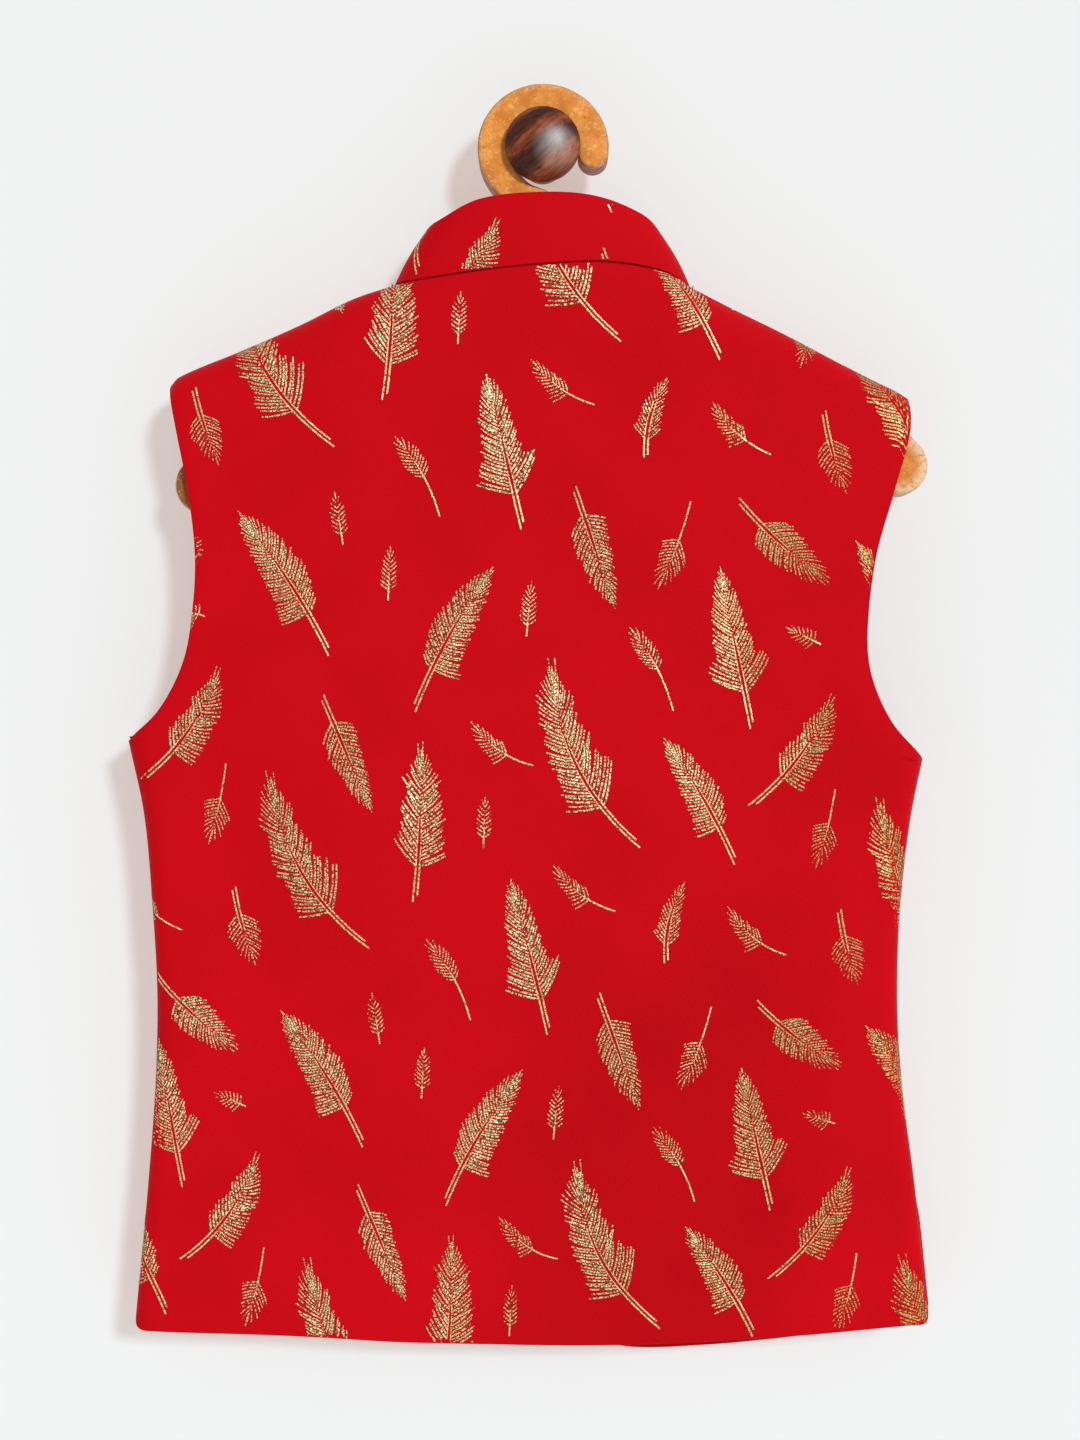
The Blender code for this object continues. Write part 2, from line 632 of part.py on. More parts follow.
def hanger_outline():
    """The board's outline in its own plane, anticlockwise from the hook's tip."""
    outer_edge, inner_edge = hook_edges(26)
    arm = np.linspace(NECK_FOOT, ARM_REACH, 9)[:-1]
    left_upper = [on_arm(-s, ARM_HALF_WIDTH) for s in arm]
    right_upper = [on_arm(s, ARM_HALF_WIDTH) for s in arm[::-1]]
    lower = [on_arm(s, -ARM_HALF_WIDTH) for s in np.linspace(-ARM_REACH, ARM_REACH, 19)[1:-1]]
    left_neck = curve([outer_edge[-1], *NECK_LEFT, left_upper[0]])
    right_neck = curve([right_upper[-1], *NECK_RIGHT, inner_edge[-1]])
    return (hook_tip(inner_edge[0], outer_edge[0], 7) + outer_edge
            + [left_neck(i / 7) for i in range(1, 7)] + left_upper
            + arm_end(-1, 8) + lower + arm_end(1, 8)[::-1] + right_upper
            + [right_neck(i / 10) for i in range(1, 10)] + inner_edge[::-1])


def build_hanger(look, collection):
    bm = bmesh.new()
    outline = [bm.verts.new((x * MM, (MID_PLANE - HANGER_THICK / 2) * MM, z * MM))
               for x, z in hanger_outline()]
    swept = bmesh.ops.extrude_face_region(bm, geom=[bm.faces.new(outline)])
    moved = [v for v in swept["geom"] if isinstance(v, bmesh.types.BMVert)]
    bmesh.ops.translate(bm, verts=moved, vec=(0, HANGER_THICK * MM, 0))
    bmesh.ops.recalc_face_normals(bm, faces=bm.faces)
    mesh = bpy.data.meshes.new("hanger")
    bm.to_mesh(mesh)
    bm.free()
    ob = new_object("hanger", mesh, look, collection)
    soft = ob.modifiers.new("soft edges", "BEVEL")
    soft.width = HANGER_EDGE * MM
    soft.segments = 2
    soft.limit_method = "ANGLE"
    soft.angle_limit = radians(60)


def build_peg(look, collection):
    """Rear face on the wall at the origin; its own Z axis points into the room, along -Y."""
    head = -PEG_HEAD_BACK
    rounds = np.linspace(pi / 2, 0, 7)[1:]
    dome = [(PEG_HEAD_RADIUS * cos(a), head + PEG_HEAD_RIM + PEG_DOME * sin(a)) for a in rounds]
    profile = [(0.0, head + PEG_HEAD_RIM + PEG_DOME), *dome,
               (PEG_HEAD_RADIUS, head + PEG_CHAMFER), (PEG_HEAD_RADIUS - PEG_CHAMFER, head),
               (PEG_SHAFT_RADIUS, head), (PEG_SHAFT_RADIUS, 0.0), (0.0, 0.0)]
    ob = turned("wall_peg", profile, 40, look, collection)
    ob.rotation_euler = (pi / 2, 0, 0)


def main():
    for ob in list(bpy.data.objects):
        bpy.data.objects.remove(ob)
    group = bpy.data.collections.new("nehru jacket on hanger")
    bpy.context.scene.collection.children.link(group)
    build_jacket(material("red printed cloth", RED, 0.75), group)
    build_buttons(material("antique gold metal", GOLD, 0.35, metallic=1.0), group)
    build_hanger(material("worn orange wood", HANGER_WOOD, 0.6), group)
    build_peg(material("dark polished wood", PEG_WOOD, 0.25), group)


main()
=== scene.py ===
# %% [markdown]
# # A child's sleeveless jacket on a wooden hanger
# A Nehru jacket is a short waistcoat with a low stand collar. This one is sewn from a thick,
# smooth red cloth that is printed all over with feathers in gold foil. It hangs by a flat wooden
# hanger from a round wall peg, with its back to the room.
#
# The rigid parts are already modelled, so the first step loads them. Everything made below is a
# finer skin for one of them and rides on the same body. The jacket's lengths are written in
# millimetres, and MM turns them into Blender's metres.

# %% Load the frame that everything is built around
from math import asin, atan2, cos, pi, radians, sin

import bpy
import numpy as np
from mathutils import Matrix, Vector
from mathutils.bvhtree import BVHTree


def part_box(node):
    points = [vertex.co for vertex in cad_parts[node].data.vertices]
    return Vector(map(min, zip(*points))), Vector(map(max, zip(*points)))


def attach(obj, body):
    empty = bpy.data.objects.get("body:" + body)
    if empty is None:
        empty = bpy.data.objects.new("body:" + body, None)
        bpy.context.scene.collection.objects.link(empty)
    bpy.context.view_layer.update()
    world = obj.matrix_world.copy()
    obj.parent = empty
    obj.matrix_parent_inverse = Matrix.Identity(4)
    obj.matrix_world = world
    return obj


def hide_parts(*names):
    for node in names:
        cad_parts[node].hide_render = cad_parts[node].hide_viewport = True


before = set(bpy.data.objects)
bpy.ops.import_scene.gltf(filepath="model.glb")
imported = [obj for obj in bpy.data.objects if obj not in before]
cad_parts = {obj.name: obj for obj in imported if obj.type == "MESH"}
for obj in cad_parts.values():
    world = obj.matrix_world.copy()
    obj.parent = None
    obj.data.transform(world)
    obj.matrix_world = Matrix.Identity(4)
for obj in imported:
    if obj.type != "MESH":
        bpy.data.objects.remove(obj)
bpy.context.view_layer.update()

MM = 0.001


def placed(name, data):
    """A new object of the scene, at the origin."""
    ob = bpy.data.objects.new(name, data)
    bpy.context.scene.collection.objects.link(ob)
    return ob


print("frame:", sorted(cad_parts))

# %% [markdown]
# ## Camera
# The picture is taken square on, from about a metre in front of the wall, at half the height of
# jacket and hanger together. A longer lens further away would flatten it more; this distance
# shows a little of the hook's underside. The lens follows from how much fits into the frame.

# %% Camera
CAMERA_PLACE = (-1.19, -1040.0, -254.4)
FRAME_HEIGHT = 633.6          # what the frame shows from top to bottom...
FRAME_DEPTH = -40.0           # ...in the plane of the jacket's back
SENSOR = 36.0                 # Blender gives it to the frame's longer side

camera = placed("camera", bpy.data.cameras.new("camera"))
camera.data.sensor_width = SENSOR
camera.data.lens = SENSOR * (FRAME_DEPTH - CAMERA_PLACE[1]) / FRAME_HEIGHT
camera.location = Vector(CAMERA_PLACE) * MM
camera.rotation_euler = (pi / 2, 0, 0)
bpy.context.scene.camera = camera
print(f"lens {camera.data.lens:.1f} mm")

# %% [markdown]
# ## Writing node trees as expressions
# Materials and Geometry Nodes are both trees of nodes. A long tree is hard to read as a list of
# nodes and links, so two small classes help: a Wire is one output socket, and Python's own
# operators on it add Math nodes. A Net adds any other node in one call, and has a short name for
# each kind of node that comes back often.

# %% Wires and nets
class Wire:
    """One output socket. Arithmetic on it adds a Math node and gives that node's Wire."""

    def __init__(self, net, socket):
        self.net = net
        self.socket = socket

    def maths(self, operation, *inputs):
        return self.net.add("ShaderNodeMath", {"operation": operation}, dict(enumerate(inputs)))

    def __add__(self, other):
        return self.maths("ADD", self, other)

    __radd__ = __add__

    def __sub__(self, other):
        return self.maths("SUBTRACT", self, other)

    def __rsub__(self, other):
        return self.maths("SUBTRACT", other, self)

    def __mul__(self, other):
        return self.maths("MULTIPLY", self, other)

    __rmul__ = __mul__

    def __truediv__(self, other):
        return self.maths("DIVIDE", self, other)

    def sine(self):
        return self.maths("SINE", self)

    def arctangent(self):
        return self.maths("ARCTANGENT", self)

    def fraction(self):
        return self.maths("FRACT", self)

    def whole(self):
        return self.maths("FLOOR", self)

    def size(self):
        return self.maths("ABSOLUTE", self)

    def smaller(self, other):
        return self.maths("MINIMUM", self, other)

    def greater(self, other):
        return self.maths("MAXIMUM", self, other)

    def between(self, low, high):
        """0 below low, 1 above high, and a smooth step in between."""
        return self.net.add("ShaderNodeMapRange", {"interpolation_type": "SMOOTHSTEP"},
                            {0: self, 1: low, 2: high})

    def part(self, axis):
        """One number of a vector: axis is X, Y or Z."""
        return self.net.add("ShaderNodeSeparateXYZ", None, {0: self}, axis)


class Net:
    """A node tree, with one method that adds a node to it."""

    def __init__(self, tree):
        self.tree = tree

    def add(self, kind, settings=None, sockets=None, out=0):
        """A node of this kind: its settings first, then its sockets' values or links."""
        node = self.tree.nodes.new(kind)
        for name, value in (settings or {}).items():
            if name == "stops":
                self.fill_ramp(node.color_ramp, value)
            else:
                setattr(node, name, value)
        for key, value in (sockets or {}).items():
            if isinstance(value, Wire):
                self.tree.links.new(value.socket, node.inputs[key])
            else:
                node.inputs[key].default_value = value
        return Wire(self, node.outputs[out])

    def fill_ramp(self, ramp, stops):
        while len(ramp.elements) < len(stops):
            ramp.elements.new(1.0)
        for element, (place, colour) in zip(ramp.elements, stops):
            element.position = place
            element.color = colour

    def blend(self, share, first, second):
        """Two colours mixed: the first where share is 0, the second where it is 1."""
        return self.add("ShaderNodeMix", {"data_type": "RGBA"}, {0: share, 6: first, 7: second}, 2)

    def noise(self, where, size, detail=2.0, roughness=0.5, stretch=None):
        """Soft noise whose blotches are about size millimetres across."""
        if stretch:
            where = self.add("ShaderNodeVectorMath", {"operation": "MULTIPLY"},
                             {0: where, 1: stretch})
        return self.add("ShaderNodeTexNoise", None,
                        {"Vector": where, "Scale": 1 / (size * MM), "Detail": detail,
                         "Roughness": roughness})

    def ramp(self, tone, *stops):
        """A colour for each tone, blended between stops. A stop is a tone and its colour."""
        return self.add("ShaderNodeValToRGB", {"stops": stops}, {0: tone})

    def carried(self, name):
        """A value that the mesh carries on its points under this name."""
        return self.add("ShaderNodeAttribute", {"attribute_name": name}, out="Fac")

    def vector(self, x=0.0, y=0.0, z=0.0):
        return self.add("ShaderNodeCombineXYZ", None, {0: x, 1: y, 2: z})


# %% [markdown]
# ## Recipes: Geometry Nodes with named inputs
# A recipe is a Geometry Nodes tree that is written once and run many times with other sizes.
# grow() puts it on a path, sets its inputs by their identifiers, reads the finished mesh back and
# throws the modifier away, so that only plain geometry is left.

# %% Recipes
INPUT_KINDS = {float: "NodeSocketFloat", int: "NodeSocketInt"}


class Recipe(Net):
    """A Geometry Nodes tree. Its inputs are given as name: a first value, whole or not."""

    def __init__(self, name, inputs):
        super().__init__(bpy.data.node_groups.new(name, "GeometryNodeTree"))
        face = self.tree.interface
        face.new_socket("Geometry", in_out="INPUT", socket_type="NodeSocketGeometry")
        self.names = {}
        for label, value in inputs.items():
            socket = face.new_socket(label, in_out="INPUT", socket_type=INPUT_KINDS[type(value)])
            socket.default_value = value
            self.names[label] = socket.identifier
        look = face.new_socket("Look", in_out="INPUT", socket_type="NodeSocketMaterial")
        self.names["Look"] = look.identifier
        face.new_socket("Geometry", in_out="OUTPUT", socket_type="NodeSocketGeometry")
        self.group = self.tree.nodes.new("NodeGroupInput")

    def given(self, label):
        return Wire(self, self.group.outputs[label])

    def keep(self, shapes, name, value):
        """Stores a value on the points under a name."""
        return self.add("GeometryNodeStoreNamedAttribute",
                        {"data_type": "FLOAT", "domain": "POINT"},
                        {"Geometry": shapes, "Name": name, "Value": value})

    def chance(self, low, high, seed, index=None):
        """A random number from low to high for each point, or for each index."""
        sockets = {2: low, 3: high, 8: seed}
        if index is not None:
            sockets[7] = index
        return self.add("FunctionNodeRandomValue", {"data_type": "FLOAT"}, sockets, 1)

    def end(self, shapes):
        """Makes the instances real, gives them the material and hands them over."""
        real = self.add("GeometryNodeRealizeInstances", None, {"Geometry": shapes})
        done = self.add("GeometryNodeSetMaterial", None,
                        {"Geometry": real, "Material": self.given("Look")})
        last = self.tree.nodes.new("NodeGroupOutput")
        self.tree.links.new(done.socket, last.inputs[0])


def grow(recipe, values, path=None):
    """The plain mesh that a recipe makes with these values, along a path if it is given one."""
    start = bpy.data.meshes.new(recipe.tree.name)
    if path is not None:
        start.from_pydata([tuple(p) for p in path], [(i, i + 1) for i in range(len(path) - 1)], [])
    ob = placed(recipe.tree.name, start)
    modifier = ob.modifiers.new("recipe", "NODES")
    modifier.node_group = recipe.tree
    for label, value in values.items():
        modifier[recipe.names[label]] = value
    ready = ob.evaluated_get(bpy.context.evaluated_depsgraph_get())
    plain = bpy.data.meshes.new_from_object(ready)
    ob.modifiers.remove(modifier)
    bpy.data.objects.remove(ob)
    return plain


# %% [markdown]
# ## Placing a finished piece
# Each new piece is a mesh whose points are already in their place, on an object that stays at the
# origin. It rides on the one rigid body and stands for the rigid solids it dresses; its mesh
# already carries its finish.

# %% Pieces
BODY = "root"


def piece(name, mesh, stands_for=()):
    ob = placed(name, mesh)
    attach(ob, BODY)
    if stands_for:
        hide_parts(*stands_for)
    return ob


def mesh_of(name, points, faces, look, smooth=True):
    """A mesh from points in millimetres."""
    mesh = bpy.data.meshes.new(name)
    mesh.from_pydata((np.asarray(points) * MM).tolist(), [], faces)
    mesh.materials.append(look)
    if smooth:
        mesh.shade_smooth()
    return mesh


def carry(mesh, name, values):
    """Stores a number on each point of a mesh, for its finish to read."""
    mesh.attributes.new(name, "FLOAT", "POINT").data.foreach_set("value", values)


# %% [markdown]
# ## Finishes
# A finish is one Principled material. What is the same all over is set on the shader's own
# sockets; what changes over the surface is a Wire into its colour, roughness, metal or bump.

# %% The finish class
class Finish(Net):
    """A Principled material. Constants are socket names with their values."""

    def __init__(self, name, **constants):
        self.material = bpy.data.materials.new(name)
        self.material.use_nodes = True
        super().__init__(self.material.node_tree)
        self.shader = self.tree.nodes["Principled BSDF"]
        for label, value in constants.items():
            self.shader.inputs[label.replace("_", " ")].default_value = value

    def coat(self, **wires):
        for label, wire in wires.items():
            self.tree.links.new(wire.socket, self.shader.inputs[label.replace("_", " ")])
        return self.material

    def bump(self, height, depth):
        """Turns a height from 0 to 1 into relief of this depth in millimetres."""
        return self.add("ShaderNodeBump", None, {"Height": height, "Distance": depth * MM})

    def spot(self):
        return self.add("ShaderNodeTexCoord", out="Object")


# %% [markdown]
# ## Red cloth
# The cloth is a thick, smooth crepe: a deep warm red with hardly any shine, whose fine surface
# only shows as a faint grain. A very fine crossed weave and a little noise carry the bump, and a
# light sheen lifts the red where the cloth turns away, as short fibres do. Low on the right of the
# back the red is painted darker, as painted shade. The pattern coordinates are the cut's own, so
# the weave follows the cloth round its rolls.

# %% Red cloth
YARN = 0.62                   # from one yarn to the next
CLOTH_RELIEF = 0.10
RED_DEEP = (0.440, 0.0003, 0.0036, 1)
RED_BRIGHT = (0.580, 0.0008, 0.0068, 1)


def red_cloth():
    net = Finish("red printed crepe", Roughness=0.7, Sheen_Weight=0.10, Sheen_Roughness=0.35,
                 Sheen_Tint=(1.0, 0.40, 0.42, 1), Specular_IOR_Level=0.06)
    cut = net.add("ShaderNodeUVMap", {"uv_map": "cut"})
    across = cut.part("X")
    along = cut.part("Y")
    turn = 2 * pi / (YARN * MM)
    weave = ((across + along) * turn).sine() * ((across - along) * (0.5 * turn)).sine()
    grain = net.noise(cut, 0.9, 3.0, 0.7)
    cloudy = net.noise(cut, 60.0, 2.0)
    # Painted shade: low on the right of the back the red is painted darker.
    painted_shade_low_right = across.between(-60 * MM, 40 * MM) * (1 - across.between(85 * MM, 125 * MM))
    painted_shade_low_right = painted_shade_low_right * (1 - along.between(-410 * MM, -310 * MM))
    tone = (grain - 0.5) * 0.9 + (cloudy - 0.5) * 0.7 + 0.62 - painted_shade_low_right * 0.33
    colour = net.blend(tone.between(0.0, 1.0), RED_DEEP, RED_BRIGHT)
    return net.coat(Base_Color=colour, Normal=net.bump(weave * 0.25 + grain, CLOTH_RELIEF))


CLOTH_LOOK = red_cloth()

# %% [markdown]
# ## Gold foil
# The print is a thin metal film pressed on to a rough cloth. It breaks over the weave into tiny
# crumbs, whose colour carries painted light: cream or nearly white as painted highlights, brown
# and a dark red as painted shade. The stems take a ramp with less dark in it. Towards the right,
# and in broad random patches, the foil is painted as plain orange gold instead; towards the right
# this stands for how the light falls there, so it is painted light. Along each line's edge the
# colour is painted dark brown, as painted shade.

# %% Gold foil
# Cream and pale are painted highlights on the foil's crumbs; brown and dark are painted shade.
FOIL_CREAM = (0.91, 0.99, 0.66, 1)
FOIL_GOLD = (0.60, 0.565, 0.180, 1)
FOIL_TAN = (0.33, 0.29, 0.095, 1)
FOIL_BROWN = (0.17, 0.088, 0.028, 1)
FOIL_DARK = (0.07, 0.006, 0.003, 1)
PLAIN_PALE = (0.73, 0.58, 0.190, 1)
PLAIN_GOLD = (0.44, 0.30, 0.080, 1)
PLAIN_BROWN = (0.20, 0.070, 0.017, 1)
CRUMB = 0.60                  # across one crumb of foil
FOIL_RELIEF = 0.10


def gold_foil():
    net = Finish("gold foil print", Specular_IOR_Level=0.3, Metallic=0.25)
    where = net.spot()
    crumbs = net.noise(where, CRUMB, 1.0, 0.6)
    stem = net.carried("stem")
    crest = net.carried("crest")
    # Painted light: towards the right the foil is painted in the plain ramp, for how the light
    # falls there; the broad noise adds random patches of it.
    side = where.part("X").between(20 * MM, 165 * MM)
    drift = net.noise(where, 70.0, 1.0)
    smooth = (side * 0.85 + drift.between(0.50, 0.68) * 0.4).smaller(1.0)
    # Both ramps paint the crumbs: pale and cream as painted highlights, brown and dark as painted
    # shade.
    rough = net.ramp(crumbs, (0.39, FOIL_DARK), (0.44, FOIL_BROWN), (0.49, FOIL_TAN),
                     (0.54, FOIL_GOLD), (0.60, FOIL_CREAM))
    plain = net.ramp(crumbs, (0.37, FOIL_DARK), (0.43, PLAIN_BROWN), (0.53, PLAIN_GOLD),
                     (0.64, PLAIN_PALE))
    stem_tone = net.ramp(crumbs, (0.36, FOIL_BROWN), (0.45, FOIL_GOLD), (0.70, FOIL_CREAM))
    colour = net.blend(smooth, rough, plain)
    colour = net.blend(stem * 0.7, colour, stem_tone)
    # Painted shade: the foot of each strand, along the line's edge, is painted dark.
    colour = net.blend(crest.between(0.32, 0.52), FOIL_DARK, colour)
    return net.coat(Base_Color=colour, Roughness=(1 - crumbs.between(0.36, 0.46)) * 0.25 + 0.36,
                    Normal=net.bump(crumbs, FOIL_RELIEF))


FOIL_LOOK = gold_foil()

# %% [markdown]
# ## The jacket's shape
# The panels are the same surfaces as the rigid solids': a point is named by its share across the
# panel and its share up the panel. Here they are worked out for a whole grid at once, which lets
# the grid be some thirty times finer than the solids'.

# %% Sizes of the cut
MID_PLANE = -25.0
CLOTH = 2.2
COLLAR_CLOTH = 2.6
SEAM_GAP = 0.3
SIDE_ROLL = 11.0
SHOULDER_ROLL = 13.0
ARMHOLE_OPEN = 0.92
ARMPIT_ROLL = 14.0
VENT_OPEN = 0.10
FRONT_SCOOP = 6.0
LAP = 25.0
LAP_OUT = 2.8
LAP_STEP = 22.0
LAP_SPARE = 6.0
BUTTONS = 5
PANEL_HEIGHT = 440.0
BACK_WIDTH = 340.0
FRONT_WIDTH = 180.0
ARMPIT_SHARE = 0.60
VENT_SHARE = 0.23
NECK_SHARE = 0.31
FRONT_NECK_SHARE = 0.50
NECK_END_SHARE = 0.88

# Side edges, up the seam and then up the armhole: left x, left z, right x, right z.
SIDE_SECTIONS = [
    ("hem",       -180.9, -518.5,  171.6, -516.5),
    ("vent top",  -175.5, -460.0,  165.5, -460.0),
    ("hip",       -172.2, -415.0,  159.8, -415.0),
    ("waist",     -171.3, -375.0,  157.8, -378.0),
    ("ribs",      -173.6, -335.0,  159.2, -336.0),
    ("chest",     -177.3, -296.0,  163.6, -299.0),
    ("armpit",    -184.2, -264.2,  169.0, -272.0),
]
ARMHOLE_SECTIONS = [
    ("armpit",    -184.2, -264.2,  169.0, -272.0),
    ("turn",      -169.4, -250.0,  154.2, -255.5),
    ("low scye",  -158.6, -228.5,  145.2, -235.0),
    ("scye",      -154.4, -203.5,  143.4, -216.0),
    ("high scye", -153.7, -180.0,  147.2, -183.0),
    ("blade",     -156.9, -153.0,  155.4, -153.5),
    ("under tip", -161.8, -128.0,  162.4, -127.5),
    ("tip",       -166.0, -106.0,  162.6, -111.0),
]
# How far the panels stand off the middle plane: height, back, front.
DEPTHS = [
    ("hem",      -540.0, 12.5, 12.5),
    ("vent top", -460.0, 13.5, 13.5),
    ("waist",    -375.0, 14.8, 14.8),
    ("chest",    -296.0, 16.0, 16.0),
    ("armpit",   -250.0, 15.4, 15.4),
    ("scye",     -190.0, 13.9, 13.9),
    ("collar",   -112.0, 13.1, 13.1),
    ("ridge",     -50.0, 13.0, 13.0),
]
VENT_TOP = -460.0
VENT_FADE = 20.0
VENT_SWING = 1.2
LEFT_SHOULDER = [
    ("tip",       -166.0, -106.0),
    ("rounding",  -161.8, -101.4),
    ("outer",     -132.0,  -88.9),
    ("middle",    -107.8,  -78.2),
    ("inner",      -84.2,  -66.6),
    ("collar",     -66.2,  -60.6),
]
RIGHT_SHOULDER = [
    ("tip",        162.6, -111.0),
    ("rounding",   156.8, -107.6),
    ("outer",      142.3, -100.6),
    ("middle",     106.3,  -81.7),
    ("inner",       86.3,  -71.9),
    ("collar",      65.8,  -61.4),
]
# The collar: its seam's x, z and distance off the middle plane, then its top edge's.
COLLAR = [
    ("left end",       -1.0, -112.0,  15.9,   -1.0,  -81.0,  13.0),
    ("left front",    -33.0, -105.5,  14.4,  -29.0,  -74.5,  12.4),
    ("left turn",     -56.0,  -85.0,  13.1,  -47.5,  -56.0,  10.4),
    ("left slope",    -64.3,  -69.0,  11.4,  -51.8,  -41.0,   7.2),
    ("left ridge",    -65.8,  -62.8,   6.6,  -52.2,  -36.0,   4.0),
    ("left side",     -66.2,  -60.6,   0.0,  -50.4,  -33.8,   0.0),
    ("left back",     -58.6,  -60.1,  -8.0,  -46.5,  -32.4,  -7.0),
    ("left nape",     -31.0,  -56.5, -12.4,  -28.0,  -23.8, -11.2),
    ("nape",            0.5,  -53.3, -12.9,    0.6,  -20.8, -11.9),
    ("right nape",     28.0,  -52.3, -12.4,   24.0,  -22.6, -11.4),
    ("right back",     54.0,  -55.9,  -8.6,   44.4,  -29.8,  -7.6),
    ("right side",     65.8,  -61.4,   0.0,   51.8,  -35.8,   0.0),
    ("right ridge",    65.4,  -63.6,   6.6,   52.0,  -38.4,   4.0),
    ("right slope",    64.1,  -69.8,  11.4,   51.6,  -43.4,   7.2),
    ("right turn",     56.0,  -85.6,  13.1,   47.5,  -57.0,  10.4),
    ("right front",    33.0, -105.7,  13.1,   29.0,  -75.0,  11.6),
    ("right end",       1.0, -112.0,  13.1,    1.0,  -81.0,  11.0),
]
COLLAR_BOW = 1.2
COLLAR_CORNER = 11.0
COLLAR_LENGTH = 350.0
BACK_HEM = [
    ("left corner",   -180.9, -518.5),
    ("left turn",     -179.4, -523.0),
    ("left",          -174.0, -524.2),
    ("left quarter",  -119.0, -526.0),
    ("left middle",    -51.5, -529.1),
    ("middle",          -1.0, -530.4),
    ("right middle",    39.4, -530.2),
    ("right quarter",   93.0, -527.9),
    ("right",          163.0, -521.6),
    ("right turn",     169.8, -521.0),
    ("right corner",   171.6, -516.5),
]
LEFT_FRONT_HEM = [
    ("side corner",   -180.9, -518.5),
    ("side turn",     -179.4, -523.0),
    ("side",          -172.0, -524.8),
    ("middle",         -80.0, -531.0),
    ("before curve",   -30.0, -531.5),
    ("curve",           -6.0, -526.0),
    ("curve end",        6.0, -511.0),
    ("front edge",       8.0, -492.0),
]
RIGHT_FRONT_HEM = [
    ("side corner",    172.8, -516.5),
    ("side turn",      170.8, -521.6),
    ("side",           164.0, -523.6),
    ("quarter",        125.0, -531.3),
    ("lowest",          72.0, -536.2),
    ("before curve",    36.0, -537.0),
    ("curve",            3.0, -527.0),
    ("curve end",      -14.0, -508.0),
    ("front edge",     -17.0, -488.0),
]
CENTRE_NECK = (0.0, -112.0)
CENTRE_HEM = (-4.6, -530.0)

# %% [markdown]
# ## Folds and creases
# The jacket hangs almost flat, so its shape is in shallow folds: a soft ridge or trough, one or
# two millimetres high, along a line. The rows of FOLDS are the solids' own. Those of CREASES are
# smaller, and uneven in length, depth and spacing: they run out of the armholes, where a hanging
# jacket drags, and down towards the hem.

# %% Folds
# Panel, from x, z to x, z, width, height. A trough has a height below zero.
FOLDS = [
    ("back",      -128.0, -236.0,  -70.0, -300.0,  26.0,   2.0),
    ("back",      -150.0, -282.0, -120.0, -400.0,  20.0,  -1.8),
    ("back",       118.0, -262.0,   70.0, -350.0,  30.0,  -2.2),
    ("back",       138.0, -330.0,  128.0, -470.0,  17.0,   2.0),
    ("back",        96.0, -395.0,   88.0, -525.0,  20.0,  -1.6),
    ("back",       -58.0, -430.0,  -66.0, -528.0,  24.0,   1.6),
    ("back",         0.0, -100.0,    0.0, -150.0,  40.0,  -1.2),
    ("left front",-124.0, -240.0,  -64.0, -306.0,  24.0,   1.8),
    ("left front",-146.0, -300.0, -128.0, -430.0,  20.0,  -1.8),
    ("left front", -72.0, -420.0,  -84.0, -526.0,  24.0,   1.6),
    ("right front",112.0, -246.0,   60.0, -320.0,  26.0,  -1.8),
    ("right front",130.0, -330.0,  118.0, -460.0,  18.0,   1.8),
    ("right front", 66.0, -430.0,   76.0, -534.0,  22.0,  -1.6),
]
CREASES = [
    ("back",      -134.0, -240.0,  -74.0, -214.0,  11.0,   0.9),
    ("back",      -130.0, -254.0,  -92.0, -240.0,   9.0,  -0.6),
    ("back",       118.0, -250.0,   96.0, -224.0,  10.0,   0.5),
    ("back",       122.0, -276.0,   84.0, -300.0,   9.0,   0.5),
    ("back",      -118.0, -300.0,  -84.0, -352.0,  12.0,   0.5),
    ("back",       104.0, -430.0,  112.0, -486.0,   9.0,   0.5),
    ("back",       -22.0, -462.0,  -16.0, -524.0,  10.0,  -0.5),
    ("back",        42.0, -476.0,   46.0, -522.0,   8.0,   0.4),
    ("back",       -96.0, -128.0,  -58.0, -104.0,  12.0,   0.5),
    ("back",        92.0, -120.0,   60.0, -102.0,  12.0,   0.5),
    ("left front",-118.0, -262.0,  -84.0, -250.0,   9.0,  -0.6),
    ("left front",-104.0, -330.0,  -92.0, -400.0,  11.0,   0.5),
    ("right front",116.0, -280.0,   88.0, -296.0,   9.0,   0.5),
    ("right front", 96.0, -360.0,   90.0, -420.0,  10.0,  -0.5),
]
CALM = 40.0                   # folds die away over this distance from a seam or the lap


def distance_to_line(x, z, x1, z1, x2, z2):
    dx = x2 - x1
    dz = z2 - z1
    t = np.clip(((x - x1) * dx + (z - z1) * dz) / (dx * dx + dz * dz), 0, 1)
    return np.hypot(x - x1 - t * dx, z - z1 - t * dz)


def folds(panel, x, z):
    return sum(height * np.exp(-(distance_to_line(x, z, x1, z1, x2, z2) / width) ** 2)
               for owner, x1, z1, x2, z2, width, height in FOLDS + CREASES if owner == panel)


